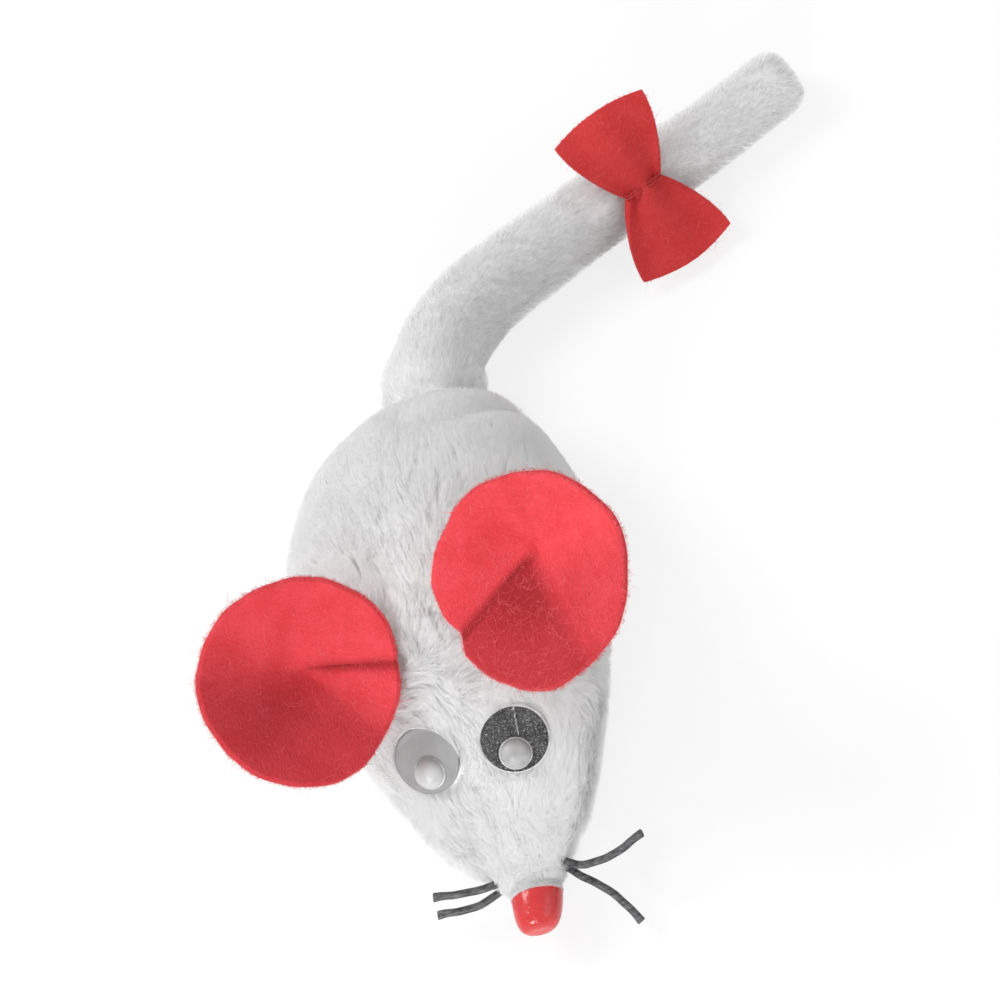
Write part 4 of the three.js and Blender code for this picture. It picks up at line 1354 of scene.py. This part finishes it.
# %% Inner materials
def plain_finish(name, size_mm, dark, light, bump_mm, stretch=(1, 1, 1)):
    finish = Finish(name, Roughness=0.9)
    grain = finish.ramp(finish.noise(size_mm, detail=4.0, stretch=stretch), 0.3, 0.7)
    finish.drive(Base_Color=finish.mix(grain, dark, light), Normal=finish.bump(grain, bump_mm, 0.7))
    return finish


INSIDE = {
    "stuffing": plain_finish("stuffing fibre", 1.5, (0.72, 0.72, 0.71, 1), (0.88, 0.88, 0.87, 1), 0.6),
    "pouch": plain_finish(
        "pouch cotton", 0.5, (0.62, 0.58, 0.50, 1), (0.74, 0.70, 0.62, 1), 0.2, stretch=(1, 1, 0.4)
    ),
    "catnip": plain_finish("dried catnip leaf", 0.9, (0.060, 0.085, 0.025, 1), (0.19, 0.22, 0.075, 1), 0.5),
    "thread": spun_thread("white thread", (0.70, 0.70, 0.69, 1), (0.86, 0.86, 0.85, 1)),
}
INNER_NODES = {
    "stuffing_front": "stuffing",
    "tail_stuffing": "stuffing",
    "catnip_pouch": "pouch",
    "dried_catnip": "catnip",
    "pouch_tie_thread": "thread",
    "tail_seam_thread": "thread",
}
for node, kind in INNER_NODES.items():
    data = frame["nodes"][node].data
    data.materials.clear()
    data.materials.append(INSIDE[kind].material)
print("inner nodes:", len(INNER_NODES))

# %% Rear stuffing
WAD_INSET = 0.25
WAD_LUMPS = 0.12
WAD_LUMP_SIZE = 7.0


def make_rear_wad():
    """The rear stuffing, pushed in at the tail's mouth so that none shows past the skin, and lumpy."""
    data = frame["nodes"]["stuffing_rear"].data
    points = np.array([point.co[:] for point in data.vertices]) / MM
    out = np.array([point.normal[:] for point in data.vertices])
    points = points - out * (WAD_INSET + WAD_LUMPS * ripple(points, WAD_LUMP_SIZE))[:, None]
    points[:, 1] = np.minimum(points[:, 1], MOUTH_Y - MOUTH_ROUNDING)
    data.calc_loop_triangles()
    faces = [np.array([triangle.vertices[:] for triangle in data.loop_triangles])]
    fibre = INSIDE["stuffing"]
    wad = add_piece("stuffing_rear_wad", points, faces, "body", [fibre], ["stuffing_rear"])


make_rear_wad()

# %% [markdown]
# ## Pile
# The pile is grown over the backing strand by strand: combed towards the tail, turned forwards on the snout
# and leant over the seams, then drawn together in small clumps and, towards the head, in larger tufts. There
# are about a third fewer strands at the rear and few on the flat underside, and some more at the snout's end
# and round the tail's mouth. Every strand is a flat tapered blade.
# Blender's own hair would be quicker to grow. Strands that are plain meshes can be bent round the eyes, the
# nose and the ears.

# %% Strands
LEVELS = np.array([0, 0.4, 0.75, 1.0])
TAPER = np.array([1, 0.9, 0.65])
BENDS = len(TAPER)


def scatter(points, normals, count):
    """Roots spread evenly by area over a grid: their places and normals."""
    along = points[1:, :-1] - points[:-1, :-1]
    across = points[:-1, 1:] - points[:-1, :-1]
    areas = np.linalg.norm(np.cross(along, across), axis=-1).ravel()
    cells = chance.choice(len(areas), count, p=areas / areas.sum())
    i, j = np.divmod(cells, points.shape[1] - 1)
    s, t = chance.uniform(size=(2, count, 1))

    def blend(grid):
        near = grid[i, j] * (1 - t) + grid[i, j + 1] * t
        far = grid[i + 1, j] * (1 - t) + grid[i + 1, j + 1] * t
        return near * (1 - s) + far * s

    return blend(points), unit(blend(normals)), float(areas.sum())


def on_surface(directions, normals):
    """The directions with their part along the normals taken out, as unit vectors."""
    return unit(directions - normals * np.sum(directions * normals, -1, keepdims=True))


def tree_of(points):
    tree = KDTree(len(points))
    for k, point in enumerate(points):
        tree.insert(point, k)
    tree.balance()
    return tree


def gather(curves, clump_size, area, pull, stray):
    """Draws every strand towards the tip of its clump. pull is one number a strand."""
    clumps = max(int(area / clump_size**2), 1)
    leaders = chance.choice(len(curves), min(clumps, len(curves)), replace=False)
    tree = tree_of(curves[leaders, 0])
    nearest = np.array([tree.find(root)[1] for root in curves[:, 0]])
    tips = curves[leaders, -1] + chance.normal(size=(len(leaders), 3)) * stray
    draw = (tips[nearest] - curves[:, -1])[:, None] * LEVELS[None, :, None] ** 1.5
    return curves + draw * np.reshape(pull, (-1, 1, 1))


def grow(roots, normals, lay, length, height):
    """Strand centre lines that rise off the surface and bend over along lay."""
    level = LEVELS[None, :, None]
    rise = height[:, None, None] * (1 - (1 - level) ** 2)
    run = np.sqrt(np.maximum(length**2 - height**2, 0.01))[:, None, None] * level**1.3
    return roots[:, None] + normals[:, None] * rise + lay[:, None] * run


def curl(curves, normals, amount, turns):
    heading = unit(curves[:, -1] - curves[:, 0])
    side = np.cross(heading, normals)
    phase = chance.uniform(0, 2 * math.pi, (len(curves), 1, 1))
    level = LEVELS[None, :, None]
    wave = np.sin(phase + level * turns * 2 * math.pi) - np.sin(phase)
    lift = np.cos(phase + level * turns * 2 * math.pi) - np.cos(phase)
    return curves + (side[:, None] * wave + normals[:, None] * lift * 0.5) * amount * level


def blades(name, curves, normals, width, body, finish, softness):
    """One mesh of flat tapered blades along the curves. Softness shades them more like the skin below."""
    count = len(curves)
    corners_each = 2 * BENDS + 1
    heading = unit(np.gradient(curves, axis=1))
    side = unit(np.cross(heading, normals[:, None]) + 1e-6)
    spread = side[:, :BENDS] * (TAPER[None, :, None] * np.reshape(width, (-1, 1, 1)) / 2)
    left, right, tip = curves[:, :BENDS] - spread, curves[:, :BENDS] + spread, curves[:, BENDS:]
    points = np.concatenate([np.stack([left, right], 2).reshape(count, 2 * BENDS, 3), tip], axis=1)
    first = np.arange(count)[:, None] * corners_each
    quads = np.concatenate([first + np.array([0, 1, 3, 2]) + 2 * k for k in range(BENDS - 1)])
    ends = first + np.arange(2 * BENDS - 2, corners_each)
    facing = np.sum(np.cross(points[:, 1] - points[:, 0], points[:, 2] - points[:, 0]) * normals, -1).mean()
    faces = [quads, ends] if facing > 0 else [quads[:, ::-1], ends[:, ::-1]]
    piece = add_piece(name, points.reshape(-1, 3), faces, body, [finish], ())
    facing_out = unit(np.cross(side, heading))
    facing_out *= np.sign(np.sum(facing_out * normals[:, None], -1, keepdims=True))
    shade = unit(normals[:, None] * softness + facing_out * (1 - softness))
    shade = np.concatenate([np.repeat(shade[:, :BENDS], 2, axis=1), shade[:, BENDS:]], axis=1)
    piece.data.normals_split_custom_set_from_vertices(shade.reshape(-1, 3))
    cells = math.ceil(math.sqrt(count))
    column, row = np.divmod(np.arange(count), cells)
    u = np.array([0.2, 0.8] * BENDS + [0.5])
    v = np.concatenate([np.repeat(0.2 + 0.6 * LEVELS[:BENDS], 2), [0.8]])
    places = np.stack([(column[:, None] + u) / cells, (row[:, None] + v) / cells], -1).reshape(-1, 2)
    corners = np.zeros(len(piece.data.loops), np.int32)
    piece.data.loops.foreach_get("vertex_index", corners)
    layer = piece.data.uv_layers.new(name="OFBake")
    layer.uv.foreach_set("vector", places[corners].astype(np.float32).ravel())


# %% Where the pile is parted
EYE_GAP = 0.12
NOSE_GAP = 0.12
CORD_GAP = -0.25
CORD_REACH = 6
# Strands rooted this far in from a disc's edge and this near its plane are under it
EYE_ROOT_INSET = 0.4
EYE_ROOT_DEPTH = 12
EYE_RISE = (-0.3, 9)
EAR_PRESSES = (0, 10, 20, 30)
EAR_GAP = 0.5


def ear_local(side_name, points):
    """The points as the flat, hinged ear sees them: the other way round from ear_place."""
    side, seat, turn = ear_seat(side_name)
    return (points * [side, 1, 1] - seat) @ turn


def in_ear(curves):
    """True for strands that would pass through an ear's felt, as it lies or pressed down on its hinge."""
    hit = np.zeros(len(curves), bool)
    for side_name in SIDES:
        local = ear_local(side_name, curves)
        for degrees in EAR_PRESSES:
            level, tilt = math.cos(math.radians(degrees)), math.sin(math.radians(degrees))
            x = local[..., 0] * level - local[..., 2] * tilt
            z = local[..., 0] * tilt + local[..., 2] * level
            over = z - ear_height(x, local[..., 1], side_name)
            reach = EAR_RADIUS - EAR_TUCK + EAR_SHIFT[side_name][0] / 2
            inside = np.hypot(x - reach, local[..., 1]) < EAR_RADIUS + EAR_GAP
            hit |= (inside & (np.abs(over) < EAR_FELT / 2 + EAR_GAP)).any(1)
            hit |= ((over[:, 1:] * over[:, :-1] < 0) & inside[:, 1:] & inside[:, :-1]).any(1)
    return hit


def press_down(curves, normals, share):
    """The strands laid lower over the backing, at a share of their height."""
    offset = curves - curves[:, :1]
    height = np.sum(offset * normals[:, None], -1, keepdims=True)
    return curves - normals[:, None] * height * (1 - share)


def in_cord(curves):
    """True for strands that would lie across a whisker cord where it comes out."""
    routes = [smooth_route(np.array(stops, float), steps=12) for stops in WHISKER_ROUTES.values()]
    route = np.concatenate(routes)
    tree = tree_of(route)
    hit = np.zeros(len(curves), bool)
    near = np.nonzero(curves[:, 0, 1] < np.max(route[:, 1]) + CORD_REACH)[0]
    for k in near:
        hit[k] = any(tree.find(point)[2] < WHISKER_RADIUS + CORD_GAP for point in curves[k, 1:])
    return hit


def clear_of_eyes(curves):
    """The strands pushed out round the discs, and True for those that are rooted under one."""
    hidden = np.zeros(len(curves), bool)
    for turn, middle in eyes.values():
        local = (curves - middle) @ turn
        across = np.linalg.norm(local[..., :2], axis=-1)
        hidden |= (across[:, 0] < DISC_RADIUS - EYE_ROOT_INSET) & (np.abs(local[:, 0, 2]) < EYE_ROOT_DEPTH)
        over = (local[..., 2] > EYE_RISE[0]) & (local[..., 2] < EYE_RISE[1])
        over &= across < DISC_RADIUS + EYE_GAP
        out = np.where(over, (DISC_RADIUS + EYE_GAP) / np.maximum(across, 0.1), 1.0)
        local[..., :2] *= out[..., None]
        curves = local @ turn.T + middle
    return curves, hidden


def clear_of_nose(curves):
    """The strands lifted off the nose where they reach over its edge."""
    offset = curves - NOSE_BASE
    across = np.hypot(offset[..., 0], offset[..., 2])
    over = (offset[..., 1] < 0.1) & (across < NOSE_RADIUS + NOSE_GAP)
    out = np.where(over, (NOSE_RADIUS + NOSE_GAP) / np.maximum(across, 0.1), 1.0)
    offset[..., 0] *= out
    offset[..., 2] *= out
    return offset + NOSE_BASE


# %% Body pile
BODY_STRANDS = {"back_panel_left": 74000, "back_panel_right": 74000, "belly_panel": 42000}
STRAND_WIDTH = 0.1
HEAD_START = 22.0
HEAD_END = -8.0
SNOUT_TURN = (-8.0, -34.0)
SNOUT_EDGE = (-42.0, -48.0)
TUFT_SIZE = 3.2
CLUMP_SIZE = 0.9
TABLE_GAP = 0.05
PRESS_SHARES = (0.7, 0.6, 0.5)
STRAND_LENGTH = 3.4
STRAND_RISE = 2.3
TUFT_LENGTH = 1.0
TUFT_RISE = 0.1
MOUTH_STRAND_RISE = 1.0
FRINGE_ROWS = 8
FRINGE_SHARE = 0.035
SEAM_LEAN = 0.55
SEAM_PILE = 2.4
COMB_SIDEWAYS = (0.65, 0.35)
COMB_SIDEWAYS_WIDTH = 6
COMB_DROP = 0.2
TURN_WAVE = 3
TURN_WAVE_SIZE = 14.0
MOUTH_EDGE = (MOUTH_Y - 3, MOUTH_Y - 0.5)
MOUTH_LEAN = 1.5
SNOUT_RUFFLE = 0.35
SNOUT_TUFT_LOSS = 0.65
SNOUT_TUFT_EDGE = (-16, -34)
REAR_SHARE = 0.65
UNDERSIDE_SHARE = 0.15
# In plain pile, and what is added to it in the tufts of the head
SWIRL_SIZE = 12.0
SWIRL = (0.12, 0.26)
RUFFLE = (0.11, 0.08)
TUFT_PULL = (0.04, 0.22)
CLUMP_PULL = (0.06, 0.08)


def combed(roots, tufty):
    """Direction of the pile before it is laid on the surface."""
    turn = math.pi * smoothstep(*SNOUT_TURN, roots[:, 1] + TURN_WAVE * ripple(roots, TURN_WAVE_SIZE))
    sideways = COMB_SIDEWAYS[0] - COMB_SIDEWAYS[1] * np.clip(roots[:, 0] / COMB_SIDEWAYS_WIDTH, -1, 1)
    comb = np.stack([sideways * np.sin(turn), np.cos(turn), -COMB_DROP * np.cos(turn)], -1)
    comb[:, 0] -= SEAM_LEAN * np.sign(roots[:, 0]) * smoothstep(SEAM_PILE, 0, np.abs(roots[:, 0]))
    below = roots[:, 2] - SIDE_SEAM_HEIGHT
    comb[:, 2] -= SEAM_LEAN * np.sign(below) * smoothstep(SEAM_PILE, 0, np.abs(below))
    tufty = tufty[:, None]
    swirl = np.stack([ripple(roots, SWIRL_SIZE) for _ in range(3)], -1) * (SWIRL[0] + SWIRL[1] * tufty)
    return comb + swirl + chance.normal(size=roots.shape) * (RUFFLE[0] + RUFFLE[1] * tufty)


def body_pile(name, grid, normals_grid, count):
    roots, normals, area = scatter(grid, normals_grid, count)
    for rows in (slice(-FRINGE_ROWS, None), slice(None, FRINGE_ROWS)):
        fringe = scatter(grid[rows], normals_grid[rows], int(count * FRINGE_SHARE))
        roots, normals = np.concatenate([roots, fringe[0]]), np.concatenate([normals, fringe[1]])
    count = len(roots)
    tufty = smoothstep(HEAD_START, HEAD_END, roots[:, 1])
    tufty = tufty * (1 - SNOUT_TUFT_LOSS * smoothstep(*SNOUT_TUFT_EDGE, roots[:, 1]))
    shown = (roots[:, 2] > BACKING_FLOOR + UNDERSIDE_SPACE) | (chance.uniform(size=count) < UNDERSIDE_SHARE)
    head_share = smoothstep(HEAD_START, HEAD_END, roots[:, 1])
    shown &= chance.uniform(size=count) < REAR_SHARE + (1 - REAR_SHARE) * head_share
    roots, normals, tufty = roots[shown], normals[shown], tufty[shown]
    at_nose = smoothstep(*SNOUT_EDGE, roots[:, 1])
    at_mouth = smoothstep(*MOUTH_EDGE, roots[:, 1])
    lay = combed(roots, tufty) + chance.normal(size=roots.shape) * SNOUT_RUFFLE * at_nose[:, None]
    lay += unit(TAIL_ROOT - roots) * MOUTH_LEAN * at_mouth[:, None]
    lay = on_surface(lay, normals)
    length = (STRAND_LENGTH + TUFT_LENGTH * tufty) * chance.uniform(0.85, 1.1, len(roots))
    length = length * (1 - 0.2 * np.maximum(at_nose, at_mouth))
    height = (STRAND_RISE + TUFT_RISE * tufty) * chance.uniform(0.82, 1.08, len(roots))
    height = height + 0.25 * tufty * ripple(roots, 6.0)
    in_mouth = np.linalg.norm(roots - TAIL_ROOT, axis=1) < MOUTH_RADIUS + 0.2
    height = np.where(in_mouth, MOUTH_STRAND_RISE, height * (1 - 0.3 * at_nose) * (1 - 0.3 * at_mouth))
    curves = grow(roots, normals, lay, length, height)
    curves = gather(curves, TUFT_SIZE, area, TUFT_PULL[0] + TUFT_PULL[1] * tufty, stray=0.2)
    curves = gather(curves, CLUMP_SIZE, area, CLUMP_PULL[0] + CLUMP_PULL[1] * tufty, stray=0.05)
    curves = curl(curves, normals, 0.12, 1.1)
    curves, hidden = clear_of_eyes(curves)
    curves = clear_of_nose(curves)
    curves[..., 2] = np.maximum(curves[..., 2], TABLE_GAP)
    for share in PRESS_SHARES:
        low = in_ear(curves)
        curves[low] = press_down(curves[low], normals[low], share)
    keep = ~(hidden | in_ear(curves) | in_cord(curves))
    width = STRAND_WIDTH * chance.uniform(0.7, 1.3, len(roots))
    print(name, "pile of", int(keep.sum()), "strands on", round(area), "mm2")
    blades(name + "_pile", curves[keep], normals[keep], width[keep], "body", pile, 0.9)


for panel_name, (grid, grid_out) in panels.items():
    body_pile(panel_name, grid, grid_out, BODY_STRANDS[panel_name])

# %% Tail pile
TAIL_STRANDS = 42000
TAIL_STRAND_LENGTH = 2.5
TAIL_STRAND_RISE = 1.8
TAIL_TUFT_SIZE = 3.0
TAIL_CLUMP_SIZE = 0.8
TAIL_SWIRL = 0.16
TAIL_SWIRL_SIZE = 16.0
TAIL_RUFFLE = 0.16
TAIL_END_CORNER = 3.0
TAIL_PILE_ROWS_IN = 6


def under_bow(curves):
    local = (curves - bow_centre) @ bow_axes.T
    inside = (np.abs(local[..., 0]) < BOW_LENGTH / 2) & (np.abs(local[..., 1]) < BOW_END_WIDTH / 2)
    return (inside & (local[..., 2] > -BOW_FELT / 2 - BOW_FOLD_DEPTH)).any(1)


def rounded_tip(curves, tip, heading):
    """The strands at the tail's end drawn in to a blunt end with round corners."""
    offset = curves - tip
    along = offset @ heading
    across = offset - along[..., None] * heading
    reach = np.linalg.norm(across, axis=-1)
    past = np.clip((along - TAIL_PILE_DEPTH + TAIL_END_CORNER) / TAIL_END_CORNER, 0, 1)
    limit = TAIL_TIP_RADIUS - TAIL_END_CORNER * (1 - np.sqrt(1 - past**2))
    share = np.where(past > 0, np.minimum(1, limit / np.maximum(reach, 0.1)), 1)
    along = np.minimum(along, TAIL_PILE_DEPTH + 0.2 * ripple(curves, 3.0))
    return tip + along[..., None] * heading + across * share[..., None]


def tail_pile():
    start = int(TAIL_ROWS * TAIL_MOUTH_DEPTH / (TAIL_LENGTH + TAIL_MOUTH_DEPTH)) - TAIL_PILE_ROWS_IN
    roots, normals, area = scatter(tail_grid[start:], tail_normals[start:], TAIL_STRANDS)
    in_mouth = roots[:, 1] < TAIL_ROOT[1] + 3
    shown = ~(in_mouth & (normals[:, 2] < -0.3))
    roots, normals = roots[shown], normals[shown]
    middles = tail_grid.mean(1)
    tree = tree_of(middles)
    headings = unit(np.gradient(middles, axis=0))
    tip, _, ahead = (v[0] for v in tail_frame(TAIL_LENGTH - TAIL_PILE_DEPTH))
    headings[-TAIL_TIP_ROWS - 2 :] = ahead
    nearest = [tree.find(root)[1] for root in roots]
    heading, outward = headings[nearest], unit(roots - middles[nearest])
    end_on = np.sum(normals * heading, -1, keepdims=True) ** 2
    swirl = np.stack([ripple(roots, TAIL_SWIRL_SIZE) for _ in range(3)], -1) * TAIL_SWIRL
    along = heading + outward * end_on + [0, 0, -COMB_DROP] + swirl
    lay = on_surface(along + chance.normal(size=roots.shape) * TAIL_RUFFLE, normals)
    length = TAIL_STRAND_LENGTH * chance.uniform(0.85, 1.15, len(roots))
    height = TAIL_STRAND_RISE * chance.uniform(0.88, 1.08, len(roots))
    curves = grow(roots, normals, lay, length, height)
    curves = gather(curves, TAIL_TUFT_SIZE, area, 0.05, stray=0.15)
    curves = gather(curves, TAIL_CLUMP_SIZE, area, 0.07, stray=0.05)
    curves = curl(curves, normals, 0.08, 1.1)
    curves = rounded_tip(curves, tip, ahead)
    curves[..., 2] = np.maximum(curves[..., 2], TABLE_GAP)
    keep = ~under_bow(curves)
    width = STRAND_WIDTH * chance.uniform(0.7, 1.3, len(roots))
    print("tail pile of", int(keep.sum()), "strands on", round(area), "mm2")
    blades("tail_sleeve_pile", curves[keep], normals[keep], width[keep], "tail", pile, 0.93)


tail_pile()

# %% [markdown]
# ## Felt hairs
# Loose hairs lie on both faces of the felt in every direction, and more of them stand out at the cut edges.
# A fuzzy texture wouldn't show at an edge, so they are blades like the pile's, thinner and shorter.

# %% Hairs
HAIR_WIDTH = 0.038
UNDER_HAIRS = 900
BOW_HAIRS = (300, 150, 700)
BOW_HAIR_REACH = 0.35
# Hairs on the upper face and at the cut edge, and how far the latter stand out
EAR_HAIRS = {"left": (1500, 4600, 0.5), "right": (600, 3600, 0.4)}


def lying_hairs(points, normals, count, height):
    roots, up, _ = scatter(points, normals, count)
    lay = on_surface(chance.normal(size=roots.shape), up)
    length = chance.uniform(1.2, 3.0, count)
    curves = grow(roots, up, lay, length, height * chance.uniform(0.3, 1.3, count))
    return curl(curves, up, 0.35, 0.7), up


def edge_hairs(edge, outward, up, count, reach):
    """Hairs rooted along a closed or open edge line, standing out from it."""
    k = chance.integers(0, len(edge), count)
    following = (k + 1) % len(edge)
    share = chance.uniform(size=(count, 1))
    far = np.linalg.norm(edge[following] - edge[k], axis=-1, keepdims=True) < 3
    roots = edge[k] + (edge[following] - edge[k]) * share * far
    roots = roots + up[k] * chance.uniform(-0.5, 0.5, (count, 1)) * EAR_FELT
    lean = outward[k] + chance.normal(size=(count, 3)) * 0.8
    length = chance.uniform(0.4, 1.0, count) * reach
    curves = roots[:, None] + unit(lean)[:, None] * length[:, None, None] * LEVELS[None, :, None]
    return curl(curves, up[k], 0.3, 0.8), up[k]


def felt_hairs(name, parts, body, move):
    curves = np.concatenate([part[0] for part in parts])
    up = np.concatenate([part[1] for part in parts])
    curves, up = move(curves), move(up) - move(np.zeros((1, 3)))
    width = HAIR_WIDTH * chance.uniform(0.7, 1.4, len(curves))
    print(name, len(curves), "hairs")
    blades(name, curves, up, width, body, hair, softness=0.5)


for side_name, (move, middle, normals) in ears.items():
    wrapped, up = round_again(middle), round_again(normals)
    face_count, edge_count, reach = EAR_HAIRS[side_name]
    face = lying_hairs(wrapped + up * EAR_FELT / 2, up, face_count, 0.16)
    under = lying_hairs(wrapped - up * EAR_FELT / 2, -up, UNDER_HAIRS, 0.22)
    rim = edge_hairs(middle[-1], unit(middle[-1] - middle[-3]), normals[-1], edge_count, reach)
    felt_hairs(f"ear_{side_name}_hairs", [face, under, rim], f"ear_{side_name}", move)


def round_the_edge(grid):
    return np.concatenate([grid[0], grid[1:, -1], grid[-1, ::-1][1:], grid[::-1, 0][1:-1]])


bow_rim = round_the_edge(bow_grid)
bow_out = unit(bow_rim * [1, 1, 0])
felt_hairs("bow_hairs", [
    lying_hairs(bow_grid + bow_normals * BOW_FELT / 2, bow_normals, BOW_HAIRS[0], 0.12),
    lying_hairs(bow_grid - bow_normals * BOW_FELT / 2, -bow_normals, BOW_HAIRS[1], 0.12),
    edge_hairs(bow_rim, bow_out, round_the_edge(bow_normals), BOW_HAIRS[2], BOW_HAIR_REACH),
], "tail", bow_place)
